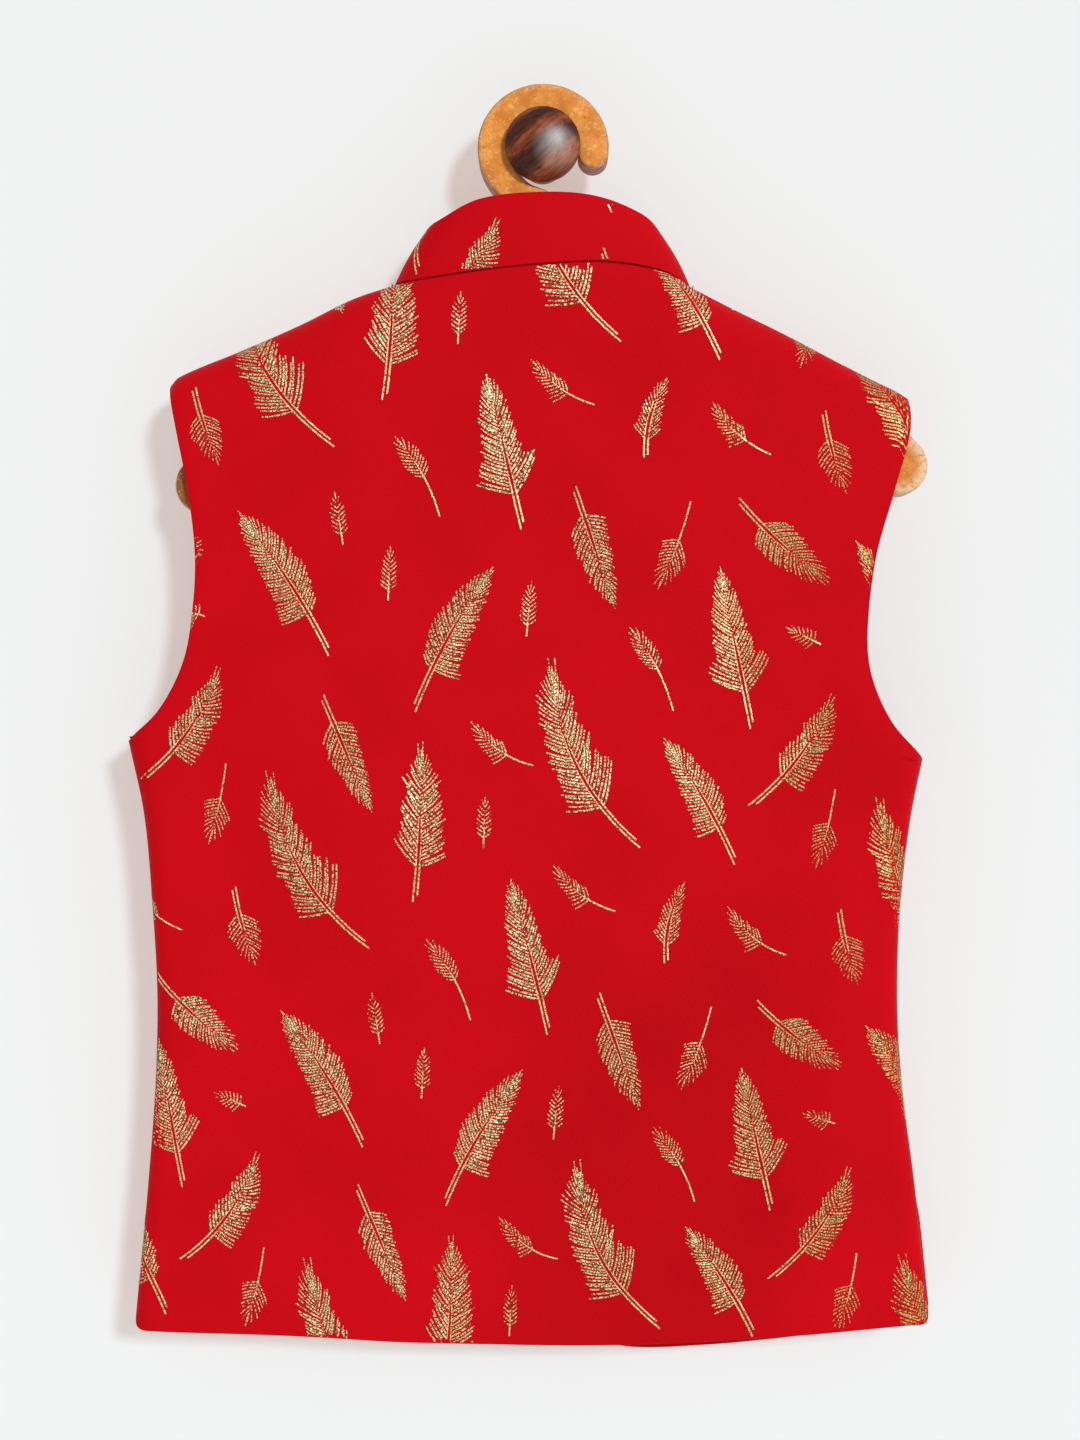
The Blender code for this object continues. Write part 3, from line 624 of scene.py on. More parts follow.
# %% Curves, rolls and steps
def curve(points):
    """A smooth curve through the points, as a function of its share of the whole length."""
    p = np.array(points, float)
    along = np.concatenate(([0.0], np.cumsum(np.linalg.norm(np.diff(p, axis=0), axis=1))))
    along /= along[-1]
    slope = np.empty_like(p)
    slope[0] = (p[1] - p[0]) / (along[1] - along[0])
    slope[-1] = (p[-1] - p[-2]) / (along[-1] - along[-2])
    slope[1:-1] = (p[2:] - p[:-2]) / (along[2:] - along[:-2])[:, None]

    def at(share):
        share = np.clip(np.atleast_1d(np.asarray(share, float)), 0, 1)
        k = np.clip(np.searchsorted(along, share) - 1, 0, len(p) - 2)
        gap = (along[k + 1] - along[k])[:, None]
        s = (share - along[k])[:, None] / gap
        return ((2 * s**3 - 3 * s**2 + 1) * p[k] + (s**3 - 2 * s**2 + s) * gap * slope[k]
                + (3 * s**2 - 2 * s**3) * p[k + 1] + (s**3 - s**2) * gap * slope[k + 1])

    at.shares = along
    return at


def joined(first, second, change):
    """Two curves end to end: the first up to the share called change."""
    def at(share):
        share = np.atleast_1d(np.asarray(share, float))
        return np.where(share[:, None] <= change, first(share / change),
                        second((share - change) / (1 - change)))
    return at


def roll(distance, radius):
    """A quarter round: 0 at the seam, 1 from the radius on."""
    t = np.clip(distance / radius, 0, 1)
    return np.sqrt(1 - (1 - t) ** 2)


def ease(t):
    t = np.clip(t, 0, 1)
    return t * t * (3 - 2 * t)


collar_band = curve([row[1:] for row in COLLAR])
collar_share = {row[0]: share for row, share in zip(COLLAR, collar_band.shares)}


# %% Edges of the panels
def depth(z, column):
    """How far a panel stands off the middle plane: column 2 is the back, 3 the front."""
    return np.interp(z, [row[1] for row in DEPTHS], [row[column] for row in DEPTHS])


def side_edge(column, scoop=0.0, swing=0.0):
    """One side of a panel from hem to shoulder tip: column 1 is the left, 3 the right."""
    inwards = 1.0 if column == 1 else -1.0
    seam = curve([(row[column], row[column + 1]) for row in SIDE_SECTIONS])
    armhole = curve([(row[column], row[column + 1]) for row in ARMHOLE_SECTIONS])
    whole = joined(seam, armhole, ARMPIT_SHARE)

    def at(v):
        v = np.atleast_1d(np.asarray(v, float))
        x, z = whole(v).T
        bite = np.sin(pi * np.clip(v - ARMPIT_SHARE, 0, 1) / (1 - ARMPIT_SHARE)) ** 2
        x = x + inwards * (scoop * bite - swing * ease((VENT_TOP - z) / VENT_FADE))
        return np.stack([x, z], axis=1)

    return at


def neck_edge(first, last):
    """The collar seam from one row of COLLAR to another."""
    start = collar_share[first]
    end = collar_share[last]

    def at(share):
        return collar_band(start + np.atleast_1d(share) * (end - start))[:, :3]

    return at


def line(start, end):
    start = np.array(start, float)
    end = np.array(end, float)

    def at(share):
        return start + np.atleast_1d(share)[:, None] * (end - start)

    return at


def with_depth(rows):
    return curve([(x, z, 0.0) for _, x, z in rows])


def centre_front(z):
    share = (z - CENTRE_NECK[1]) / (CENTRE_HEM[1] - CENTRE_NECK[1])
    return CENTRE_NECK[0] + share * (CENTRE_HEM[0] - CENTRE_NECK[0])


def patch(bottom, top, near, far, us, vs):
    """The grid of a flat panel whose four edges are the given curves: x and z."""
    u = us[None, :, None]
    v = vs[:, None, None]
    b0, b1 = bottom([0.0, 1.0])[:, :2]
    t0, t1 = top([0.0, 1.0])[:, :2]
    corners = (1 - u) * (1 - v) * b0 + u * (1 - v) * b1 + (1 - u) * v * t0 + u * v * t1
    grid = ((1 - v) * bottom(us)[None, :, :2] + v * top(us)[None, :, :2]
            + (1 - u) * near(vs)[:, None] + u * far(vs)[:, None] - corners)
    return grid[..., 0], grid[..., 1]


def edge_share(v):
    """How open a side edge stands: shut along the seam, open at the vent and the armhole."""
    vent = VENT_OPEN * ease(1 - v / ARMPIT_SHARE / VENT_SHARE)
    armhole = ARMHOLE_OPEN * roll((v - ARMPIT_SHARE) * PANEL_HEIGHT, ARMPIT_ROLL)
    return np.where(v <= ARMPIT_SHARE, vent, armhole)


def lift(us, vs, edge, width, full, both_sides):
    """How far a panel stands off the middle plane before its folds. Its first side is sewn, and
    so is the last one where both are."""
    cut = SHOULDER_ROLL * (1 - np.sqrt(1 - np.minimum(edge / full, 1.0) ** 2))
    v = vs[:, None]
    at_top = full * roll((1 - v) * PANEL_HEIGHT + cut, SHOULDER_ROLL)
    share = edge_share(v)
    factor = share + (1 - share) * roll(us * width, SIDE_ROLL)
    if both_sides:
        factor = factor * (share + (1 - share) * roll((1 - us) * width, SIDE_ROLL))
    return at_top * factor


# %% Surfaces of the panels
def back_surface():
    bottom = curve([(x, z) for _, x, z in BACK_HEM])
    left_top = with_depth(LEFT_SHOULDER)
    right_top = with_depth(RIGHT_SHOULDER[::-1])
    neck = neck_edge("left side", "right side")
    rest = joined(neck, right_top, (1 - 2 * NECK_SHARE) / (1 - NECK_SHARE))
    top = joined(left_top, rest, NECK_SHARE)
    left = side_edge(1)
    right = side_edge(3)

    def at(us, vs):
        x, z = patch(bottom, top, left, right, us, vs)
        off = lift(us, vs, -top(us)[:, 2], BACK_WIDTH, depth(z, 2), True)
        calm = ease(us * BACK_WIDTH / CALM) * ease((1 - us) * BACK_WIDTH / CALM)
        calm = calm * ease((1 - vs) * PANEL_HEIGHT / CALM)[:, None]
        off = off + folds("back", x, z) * calm
        return np.stack([x, MID_PLANE - SEAM_GAP / 2 - off, z], axis=-1)

    return at


def lap_step(x, z):
    """How far the left front stands out beyond the right one."""
    before = centre_front(z) - LAP / 2 - LAP_SPARE - x
    return LAP_OUT * ease(1 - before / LAP_STEP)


def front_surface(side):
    """The left or right front, from its side seam, u = 0, to its front edge, u = 1."""
    left = side == "left"
    bottom = curve([(x, z) for _, x, z in (LEFT_FRONT_HEM if left else RIGHT_FRONT_HEM)])
    shoulder = with_depth(LEFT_SHOULDER if left else RIGHT_SHOULDER)
    under_collar = neck_edge(f"{side} side", f"{side} end")
    end = under_collar(1.0)[0]
    past = end + np.array([LAP / 2 if left else -LAP / 2, 0.0, 0.0])
    neck = joined(under_collar, line(end, past), NECK_END_SHARE)
    top = joined(shoulder, neck, FRONT_NECK_SHARE)
    outer = side_edge(1 if left else 3, FRONT_SCOOP, 0.0 if left else VENT_SWING)
    front_edge = line(bottom(1.0)[0], past[:2])

    def at(us, vs):
        x, z = patch(bottom, top, outer, front_edge, us, vs)
        edge_x, edge_z, edge = top(us).T
        if left:
            edge = edge - lap_step(edge_x, edge_z)
        off = lift(us, vs, edge, FRONT_WIDTH, depth(z, 3), False)
        calm = ease(us * FRONT_WIDTH / CALM) * ease((1 - vs) * PANEL_HEIGHT / CALM)[:, None]
        calm = calm * ease((abs(x - centre_front(z)) - LAP) / CALM)
        off = off + folds(f"{side} front", x, z) * calm
        if left:
            off = off + lap_step(x, z)
        return np.stack([x, MID_PLANE + SEAM_GAP / 2 + off, z], axis=-1)

    return at


def collar_surface():
    """The collar's outer face, all round from one front end, u = 0, to the other."""
    def at(us, vs):
        band = collar_band(us)
        low = band[None, :, :3]
        high = band[None, :, 3:]
        start = np.minimum(us, 1 - us) * COLLAR_LENGTH
        square = COLLAR_CORNER**2 - np.maximum(COLLAR_CORNER - start, 0) ** 2
        cut = COLLAR_CORNER - np.sqrt(np.maximum(square, 0))
        stand = np.linalg.norm(high - low, axis=2)
        share = (SEAM_GAP + vs[:, None] * (stand - SEAM_GAP - cut)) / stand
        x, z, off = np.moveaxis(low + share[..., None] * (high - low), 2, 0)
        bow = 1 + COLLAR_BOW * np.sin(pi * share) / np.hypot(x, off)
        return np.stack([bow * x, MID_PLANE + bow * off, z], axis=-1)

    return at


# %% [markdown]
# ## From a surface to a sewn piece of cloth
# A real panel is a wall about two millimetres thick whose edges are folded in, so they are round.
# The wall is laid about its own middle: half its thickness goes out, half goes in, and near an
# edge both shrink along a quarter round until they meet. That makes one closed mesh with soft
# edges, and where two panels meet it leaves the fine groove of a seam.
#
# The same grid also gives the pattern coordinates, measured along the cloth as a tape would, so
# that the weave and the print lie on it without stretching.

# %% Grids
ROLL_STEPS = 14               # steps of the grid over a roll
CROWDING = 1.6                # above 1, they crowd towards the edge
SAME_SHARE = 9                # two shares are the same when they agree to so many digits


def edge_steps(radius):
    """Distances from an edge over a roll of this radius, close together at the edge."""
    return radius * (1 - np.cos(pi / 2 * (np.arange(ROLL_STEPS) / ROLL_STEPS) ** CROWDING))


def shares(length, spacing, start, end, low=0.0, high=1.0):
    """Shares from low to high of a line: even steps between rolls of the given radii."""
    near = edge_steps(start)
    far = edge_steps(end)
    first = low * length + start
    last = high * length - end
    even = np.linspace(first, last, int((last - first) / spacing) + 1)
    places = np.concatenate([low * length + near, even, high * length - far[::-1]])
    return places / length


def in_order(*parts):
    """Shares in rising order, each of them once."""
    return np.unique(np.round(np.concatenate(parts), SAME_SHARE))


def surface_normals(surface, us, vs, outward):
    """The surface's own normals on a grid, from its slopes."""
    tiny = 1e-5
    du = surface(np.minimum(us + tiny, 1), vs) - surface(np.maximum(us - tiny, 0), vs)
    dv = surface(us, np.minimum(vs + tiny, 1)) - surface(us, np.maximum(vs - tiny, 0))
    n = np.cross(du, dv)
    n /= np.linalg.norm(n, axis=2)[..., None]
    side = 1.0 if n[len(vs) // 3, len(us) // 2] @ np.array(outward) > 0 else -1.0
    return n * side, side


def tape(a, b):
    """Distances along a grid's rows, counted from the first column."""
    steps = np.hypot(np.diff(a, axis=1), np.diff(b, axis=1))
    return np.concatenate([np.zeros((len(a), 1)), np.cumsum(steps, axis=1)], axis=1)


# %% The cloth wall
class Panel:
    """A cut piece of cloth: its outer face, its wall and its pattern coordinates."""

    def __init__(self, name, surface, us, vs, thickness, outward, edges, origin):
        """edges are the rounding radii at the first and last column and the first and last row;
        origin is the pattern coordinate of the grid's middle less its own x and z there."""
        self.name = name
        self.shape = (len(vs), len(us))
        face = surface(us, vs)
        self.normals, self.side = surface_normals(surface, us, vs, outward)
        x, y, z = np.moveaxis(face, 2, 0)
        steps_u = np.concatenate([np.zeros((len(vs), 1)), np.cumsum(
            np.linalg.norm(np.diff(face, axis=1), axis=2), axis=1)], axis=1)
        steps_v = np.concatenate([np.zeros((1, len(us))), np.cumsum(
            np.linalg.norm(np.diff(face, axis=0), axis=2), axis=0)], axis=0)
        half = thickness / 2 * np.ones(self.shape)
        for distance, radius in ((steps_u, edges[0]), (steps_u[:, -1:] - steps_u, edges[1]),
                                 (steps_v, edges[2]), (steps_v[-1:] - steps_v, edges[3])):
            half = half * roll(distance, radius)
        middle = face - self.normals * thickness / 2
        self.outer = middle + self.normals * half[..., None]
        self.inner = middle - self.normals * half[..., None]
        across = tape(x, y)
        up = tape(z.T, y.T).T
        column = len(us) // 2
        row = len(vs) // 2
        turn = 1.0 if outward[1] < 0 else -1.0
        way = np.sign(turn * (x[row, -1] - x[row, 0]))
        self.s = turn * x[:, column, None] + (across - across[:, column, None]) * way + origin[0]
        self.t = z[None, row] + up - up[None, row] + origin[1]
        self.width = float(across[:, -1].max())
        self.length = float(up[-1].max())
        cells = np.cross(face[1:, 1:] - face[:-1, :-1], face[1:, :-1] - face[:-1, 1:])
        self.area = float(np.linalg.norm(cells, axis=2).sum() / 2)

    def quads(self):
        rows, columns = self.shape
        j, i = np.meshgrid(np.arange(rows - 1), np.arange(columns - 1), indexing="ij")
        a = (j * columns + i).ravel()
        quads = np.stack([a, a + 1, a + columns + 1, a + columns], axis=1)
        return quads if self.side > 0 else quads[:, ::-1]

    def mesh(self, look):
        """A closed wall: the inner face shares the outer one's border points."""
        rows, columns = self.shape
        number = np.arange(rows * columns).reshape(self.shape)
        inside = np.zeros(self.shape, bool)
        inside[1:-1, 1:-1] = True
        inner_number = number.copy()
        inner_number[inside] = rows * columns + np.arange(inside.sum())
        outer = self.quads()
        inner = inner_number.ravel()[outer][:, ::-1]
        points = np.concatenate([self.outer.reshape(-1, 3), self.inner[inside]])
        mesh = mesh_of(self.name, points, np.concatenate([outer, inner]).tolist(), look)
        flat = np.stack([self.s.ravel(), self.t.ravel()], axis=1)
        flat = np.concatenate([flat, flat.reshape(*self.shape, 2)[inside]]) * MM
        corners = np.empty(len(mesh.loops), int)
        mesh.loops.foreach_get("vertex_index", corners)
        cut = mesh.uv_layers.new(name="cut")
        cut.data.foreach_set("uv", flat[corners].ravel())
        return mesh


# %% [markdown]
# ## Cutting the four pieces
# The hem and the front edges have the full round of a folded edge. The neck and the sides, from
# the seam on up the armhole, have a tighter one, as a seam draws them in. The spacing of the grid
# is about two millimetres, and much finer in the rolls.

# %% Cut the back, the fronts and the collar
GRID = 2.2                    # spacing of the grid in the even parts
FOLDED_EDGE = 1.1             # rounding radii of the wall's edges
COLLAR_TOP_EDGE = 1.3
SEWN_EDGE = 0.55
EDGE_FINE = 3.0               # a free edge is resolved over this much
COLLAR_STAND = 32.0
COLLAR_GRID = 1.6
COLLAR_SEAM_FINE = 2.0

panel_rows = in_order(
    shares(PANEL_HEIGHT, GRID, EDGE_FINE, 0.0, 0.0, ARMPIT_SHARE),
    shares(PANEL_HEIGHT, GRID, ARMPIT_ROLL, SHOULDER_ROLL, ARMPIT_SHARE, 1.0))
back_columns = in_order(shares(BACK_WIDTH, GRID, SIDE_ROLL, SIDE_ROLL))
front_columns = in_order(shares(FRONT_WIDTH, GRID, SIDE_ROLL, EDGE_FINE))
collar_columns = in_order(shares(COLLAR_LENGTH, GRID, EDGE_FINE, EDGE_FINE))
collar_rows = in_order(shares(COLLAR_STAND, COLLAR_GRID, COLLAR_SEAM_FINE, EDGE_FINE))

COLLAR_ORIGIN = (-147.7, 209.9)    # the collar is cut from another place of the same cloth
LEFT_ORIGIN = (61.0, 37.0)
RIGHT_ORIGIN = (-128.0, -52.0)

back = Panel("jacket_back", back_surface(), back_columns, panel_rows, CLOTH, (0, -1, 0),
             (SEWN_EDGE, SEWN_EDGE, FOLDED_EDGE, SEWN_EDGE), (0.0, 0.0))
left_front = Panel("jacket_front_left", front_surface("left"), front_columns, panel_rows, CLOTH,
                   (0, 1, 0), (SEWN_EDGE, FOLDED_EDGE, FOLDED_EDGE, SEWN_EDGE), LEFT_ORIGIN)
right_front = Panel("jacket_front_right", front_surface("right"), front_columns, panel_rows, CLOTH,
                    (0, 1, 0), (SEWN_EDGE, FOLDED_EDGE, FOLDED_EDGE, SEWN_EDGE), RIGHT_ORIGIN)
collar = Panel("jacket_collar", collar_surface(), collar_columns, collar_rows, COLLAR_CLOTH,
               (0, -1, 0), (FOLDED_EDGE, FOLDED_EDGE, SEWN_EDGE, COLLAR_TOP_EDGE), (0.0, 0.0))
for cut in (back, left_front, right_front, collar):
    print(f"{cut.name}: {cut.shape[1]} x {cut.shape[0]} points, {cut.width:.0f} x "
          f"{cut.length:.0f} mm, {cut.area / 1e6:.4f} m2")

# %% Sew them on to the frame
cloth_back = piece("jacket_back", back.mesh(CLOTH_LOOK), ["back"])
cloth_left = piece("jacket_front_left", left_front.mesh(CLOTH_LOOK), ["front_left"])
cloth_right = piece("jacket_front_right", right_front.mesh(CLOTH_LOOK), ["front_right"])
cloth_collar = piece("jacket_collar", collar.mesh(CLOTH_LOOK), ["collar"])

# %% [markdown]
# ## Feathers
# Every feather is the same recipe with other sizes. A mesh line gives a point for each barb; the
# points are moved on to the shaft, which is a shallow arch, and a short bent curve is put on each
# one, turned away from the shaft and scaled. The barbs lie flatter and shorter towards the tip,
# where they make a fan, and they gather in clumps, as a ruffled feather's do. The stem is one
# line or two; where there are two, the cloth stays bare between them and on up the vane, and
# that makes the red quill line.
#
# One barb is a flat three-sided strand, so a whole feather stays light. The recipe works in
# millimetres, in the flat, with the root at the origin and the tip up the Y axis.

# %% The feather recipe
FEATHER_INPUTS = {
    "Length": 80.0, "Stem": 0.25, "Left reach": 0.18, "Left base": 1.0, "Left low": 0.8,
    "Left high": 0.6, "Right reach": 0.18, "Right base": 1.0, "Right low": 0.8,
    "Right high": 0.6, "Lines": 2, "Bend": 0.0, "Gap": 0.7, "Fan": 0.12, "Clumps": 3.0,
    "Pitch": 1.12, "Line width": 1.28, "Parts": 4, "Seed": 1,
}
STEM_SPREAD = 1.70            # between the two lines of a stem
STEM_LINE = 0.86
QUILL = 0.85                  # from the shaft to the first of each barb, beside the bare quill
RAGGED = 0.09                 # how unevenly long the barbs are
UNEVEN = radians(2.0)         # and how unevenly they are turned
BARB_BOW = 0.035
TAPER = 0.22                  # how much shorter the barbs get on the way up
TIP_ROOM = 0.96               # the shaft ends this share of the fan's length before the tip
CLOSES_FROM = 0.62            # up the vane, its barbs close round the tip from here on...
FAN_CLOSES = 1.6              # ...or sooner, for a fan longer than the usual
USUAL_FAN = 0.13
CLUMP_TURN = radians(-13)     # how far a clump turns from its first barb to its last
CLUMP_SHORT = 0.12            # and how much shorter its barbs get
LEFT_SEED = 11
RIGHT_SEED = 31
LENGTH_SEED = 50
STEM_STEPS = 14


def on_shaft(net, share):
    """X of the shaft, at a share of the whole length."""
    return net.given("Bend") * net.given("Length") * 4 * share * (1 - share)


def strands(net, curves, width):
    """Gives a curve the flat, three-sided section of a printed line."""
    section = net.add("GeometryNodeCurvePrimitiveCircle", {"mode": "RADIUS"},
                      {"Resolution": 3, "Radius": 0.5})
    standing = net.add("GeometryNodeSetCurveNormal", {"mode": "Z_UP"}, {"Curve": curves})
    return net.add("GeometryNodeCurveToMesh", None,
                   {"Curve": standing, "Profile Curve": section, "Scale": width,
                    "Fill Caps": True})


def vane(net, side, sign, seed):
    """The barbs on one side of the shaft: sign is -1 on the left and 1 on the right."""
    length = net.given("Length")
    stem = net.given("Stem")
    low = net.given(f"{side} low")
    high = net.given(f"{side} high")
    end = 1 - net.given("Fan") * TIP_ROOM
    number = length * (end - stem) * ((low + high) / 2).sine() / net.given("Pitch")
    number = number.whole()
    points = net.add("GeometryNodeMeshLine", {"mode": "OFFSET"}, {"Count": number})
    index = net.add("GeometryNodeInputIndex")
    up = index / (number - 1)
    share = stem + up * (end - stem)
    start = CLOSES_FROM - (net.given("Fan") - USUAL_FAN).greater(0.0) * FAN_CLOSES
    closing = (up - start).greater(0.0) / (1 - start)
    gap = (1 - up.between(0.15, net.given("Gap") + 0.08)) * QUILL
    two = net.given("Lines") - 1
    place = net.vector(on_shaft(net, share) + gap * two * sign, share * length)
    points = net.add("GeometryNodeSetPosition", None, {"Geometry": points, "Position": place})
    points = net.keep(points, "closing", closing)

    slope = (net.given("Bend") * 4 * (1 - 2 * share)).arctangent()
    clump = (up * net.given("Clumps")).fraction()
    turn = net.chance(-1.0, 1.0, net.given("Seed") + seed, index)
    longer = net.chance(-1.0, 1.0, net.given("Seed") + seed + LENGTH_SEED, index)
    angle = (low + (high - low) * up) * (1 - closing * closing)
    grouped = net.given("Clumps").smaller(1.0)
    angle = angle + (clump - 0.5) * grouped * CLUMP_TURN
    angle = angle + turn * UNEVEN * (1 + up) * (1.15 - closing)
    turned = slope + angle * sign

    base = net.given(f"{side} base")
    body = net.given(f"{side} reach") * (base + (1 - base) * up.between(0.0, 0.24))
    body = body * (1 - up * TAPER)
    size = body + (net.given("Fan") - body) * up.between(0.55, 1.0)
    size = size * (1 + longer * RAGGED) * (1 - clump * grouped * CLUMP_SHORT) * length
    barb = net.add("GeometryNodeCurveQuadraticBezier", None,
                   {"Resolution": net.given("Parts"), "Start": (0, 0, 0),
                    "Middle": (2 * sign * BARB_BOW, 0.5, 0), "End": (0, 1, 0)})
    spin = net.add("FunctionNodeEulerToRotation", None, {0: net.vector(z=turned * -1)})
    barbs = net.add("GeometryNodeInstanceOnPoints", None,
                    {"Points": points, "Instance": barb, "Rotation": spin,
                     "Scale": net.vector(size, size, 1.0)})
    barbs = net.add("GeometryNodeRealizeInstances", None, {"Geometry": barbs})
    along = net.add("GeometryNodeSplineParameter")
    closing = net.add("GeometryNodeInputNamedAttribute", {"data_type": "FLOAT"},
                      {"Name": "closing"})
    thin = (1 - along * 0.45) * (along.between(0.0, 0.15) * 0.5 + 0.5) * (1 - closing * 0.45)
    return strands(net, barbs, net.given("Line width") * thin)


def stem_line(net, sign):
    """One line of the stem, from the root up to where the vane closes over it."""
    length = net.given("Length")
    points = net.add("GeometryNodeMeshLine", {"mode": "OFFSET"}, {"Count": STEM_STEPS})
    up = net.add("GeometryNodeInputIndex") / (STEM_STEPS - 1)
    two = net.given("Lines") - 1
    first = two * (0.02 * (1 + sign))
    reach = net.given("Gap") * 0.9 * two + (1 - two) * 0.5
    last = net.given("Stem") + reach * (0.85 - net.given("Stem"))
    share = first + up * (last - first)
    apart = STEM_SPREAD / 2 * (1 - up.between(0.55, 1.0) * 0.25)
    place = net.vector(on_shaft(net, share) + two * apart * sign, share * length)
    points = net.add("GeometryNodeSetPosition", None, {"Geometry": points, "Position": place})
    lines = net.add("GeometryNodeMeshToCurve", None, {"Mesh": points})
    thin = 1 - share.between(net.given("Stem"), net.given("Stem") + 0.08) * 0.45
    return net.keep(strands(net, lines, thin * STEM_LINE), "stem", 1.0)


def feather_recipe():
    net = Recipe("feather", FEATHER_INPUTS)
    second = net.add("GeometryNodeSwitch", {"input_type": "GEOMETRY"},
                     {"Switch": net.given("Lines") - 1, "True": stem_line(net, 1)})
    whole = net.add("GeometryNodeJoinGeometry")
    for part in (vane(net, "Left", -1, LEFT_SEED), vane(net, "Right", 1, RIGHT_SEED),
                 stem_line(net, -1), second):
        net.tree.links.new(part.socket, whole.socket.node.inputs[0])
    net.end(whole)
    return net


feather = feather_recipe()

# %% [markdown]
# ## The chart of the print
# Fourteen kinds of feather, drawn as shares of the whole length, angles in degrees, and the
# left and right side as seen from the root. The chart then places them one by one on one repeat of
# the cloth, each by its root and its tip, and two steps, one across and one down, carry the repeat
# over the whole cut. A small feather has finer lines than the others.

# %% Feather kinds and the repeat
# stem; left reach, base, low, high; right reach, base, low, high; lines, bend, gap, fan, clumps
KINDS = {
    "plume": (0.25, 0.140, 1.10, 50, 48, 0.180, 1.35, 42, 28, 2, -0.12, 0.72, 0.15, 3),
    "blade": (0.28, 0.130, 1.20, 84, 42, 0.165, 0.60, 52, 36, 2,  0.03, 0.74, 0.13, 0),
    "flare": (0.23, 0.165, 1.30, 60, 36, 0.160, 1.65, 40, 32, 2,  0.00, 0.64, 0.14, 0),
    "quill": (0.31, 0.170, 0.85, 38, 32, 0.165, 0.92, 78, 46, 2,  0.08, 0.62, 0.13, 2),
    "drop":  (0.24, 0.140, 1.10, 62, 38, 0.205, 0.85, 44, 30, 2,  0.00, 0.66, 0.13, 0),
    "sheaf": (0.23, 0.200, 1.15, 36, 32, 0.190, 0.95, 58, 40, 2,  0.02, 0.56, 0.13, 3),
    "broad": (0.29, 0.200, 1.00, 52, 50, 0.190, 0.85, 58, 50, 2,  0.03, 0.60, 0.20, 0),
    "round": (0.36, 0.235, 0.95, 56, 48, 0.235, 0.85, 50, 46, 2,  0.03, 0.46, 0.17, 0),
    "curl":  (0.36, 0.170, 1.30, 62, 40, 0.160, 1.15, 42, 34, 1, -0.10, 0.70, 0.19, 0),
    "sprig": (0.47, 0.155, 0.55, 56, 44, 0.155, 0.70, 48, 40, 1,  0.06, 0.10, 0.15, 0),
    "hook":  (0.43, 0.240, 1.10, 36, 30, 0.180, 1.00, 68, 46, 1, -0.03, 0.66, 0.20, 0),
    "wisp":  (0.22, 0.165, 1.10, 42, 38, 0.170, 1.05, 42, 40, 2, -0.08, 0.80, 0.19, 0),
    "ear":   (0.20, 0.190, 0.85, 55, 46, 0.190, 0.95, 52, 44, 1,  0.00, 0.10, 0.15, 0),
    "bud":   (0.20, 0.300, 1.00, 72, 44, 0.300, 1.00, 72, 44, 1,  0.00, 0.10, 0.24, 0),
}
FINE_KINDS = ("broad", "round", "bud")
SMALL = 45.0                  # the length under which a feather counts as small
TINY = 30.0
PITCH = 1.12                  # from one barb to the next, and then the same for other feathers
SMALL_PITCH = 1.0
TINY_PITCH = 1.2
FINE_PITCH = 1.04
LINE = 1.14                   # a line's width, as a share of the pitch
SMALL_LINE = 0.86             # and in millimetres
# kind, root across and up, tip across and up, mirrored or not
CHART = [
    ("blade",   -92.8, -226.5, -132.9, -164.0, False),
    ("ear",     -87.0, -178.1,  -91.0, -154.8, False),
    ("ear",     -67.4, -202.9,  -66.5, -179.1, False),
    ("blade",   -56.4, -251.2,  -22.1, -189.6, True),
    ("ear",      -7.2, -219.2,   -5.0, -195.4, False),
    ("sprig",    57.3, -251.1,   38.0, -215.0, False),
    ("flare",    92.0, -258.3,   77.9, -188.8, False),
    ("bud",     120.2, -219.6,  105.7, -213.0, False),
    ("quill",    91.2, -292.3,  126.0, -241.3, False),
    ("drop",    -96.5, -244.1,  -75.4, -294.3, False),
    ("plume",    43.2, -310.5,    4.5, -227.8, False),
    ("curl",     -4.4, -275.6,  -31.2, -255.8, False),
    ("blade",    84.8, -317.4,   53.6, -263.7, False),
    ("sheaf",   -57.3, -334.7,  -53.8, -265.6, False),
    ("hook",    128.7, -284.2,  119.9, -319.8, False),
    ("ear",     -26.5, -311.2,  -25.2, -288.3, False),
    ("plume",   -77.1, -354.5, -119.3, -276.6, False),
    ("round",  -137.4, -328.7, -129.0, -362.8, False),
    ("curl",     31.3, -338.7,    4.4, -318.4, False),
    ("wisp",     53.6, -361.2,   62.5, -325.6, False),
    ("curl",    106.9, -358.2,   81.4, -336.0, False),
    ("sprig",   -33.2, -386.8,  -52.5, -351.2, False),
    ("flare",     1.8, -392.7,  -14.5, -324.9, False),
    ("broad",  -174.6, -368.4, -136.4, -402.4, False),
    ("drop",     23.4, -374.4,   41.9, -426.3, False),
    ("hook",     73.4, -379.8,   60.2, -418.1, False),
]
STEP_ACROSS = np.array([268.0, -9.7])
STEP_DOWN = np.array([11.4, -220.0])
EASED_IN = 0.028              # each repeat down is this much narrower, as the cloth is eased in


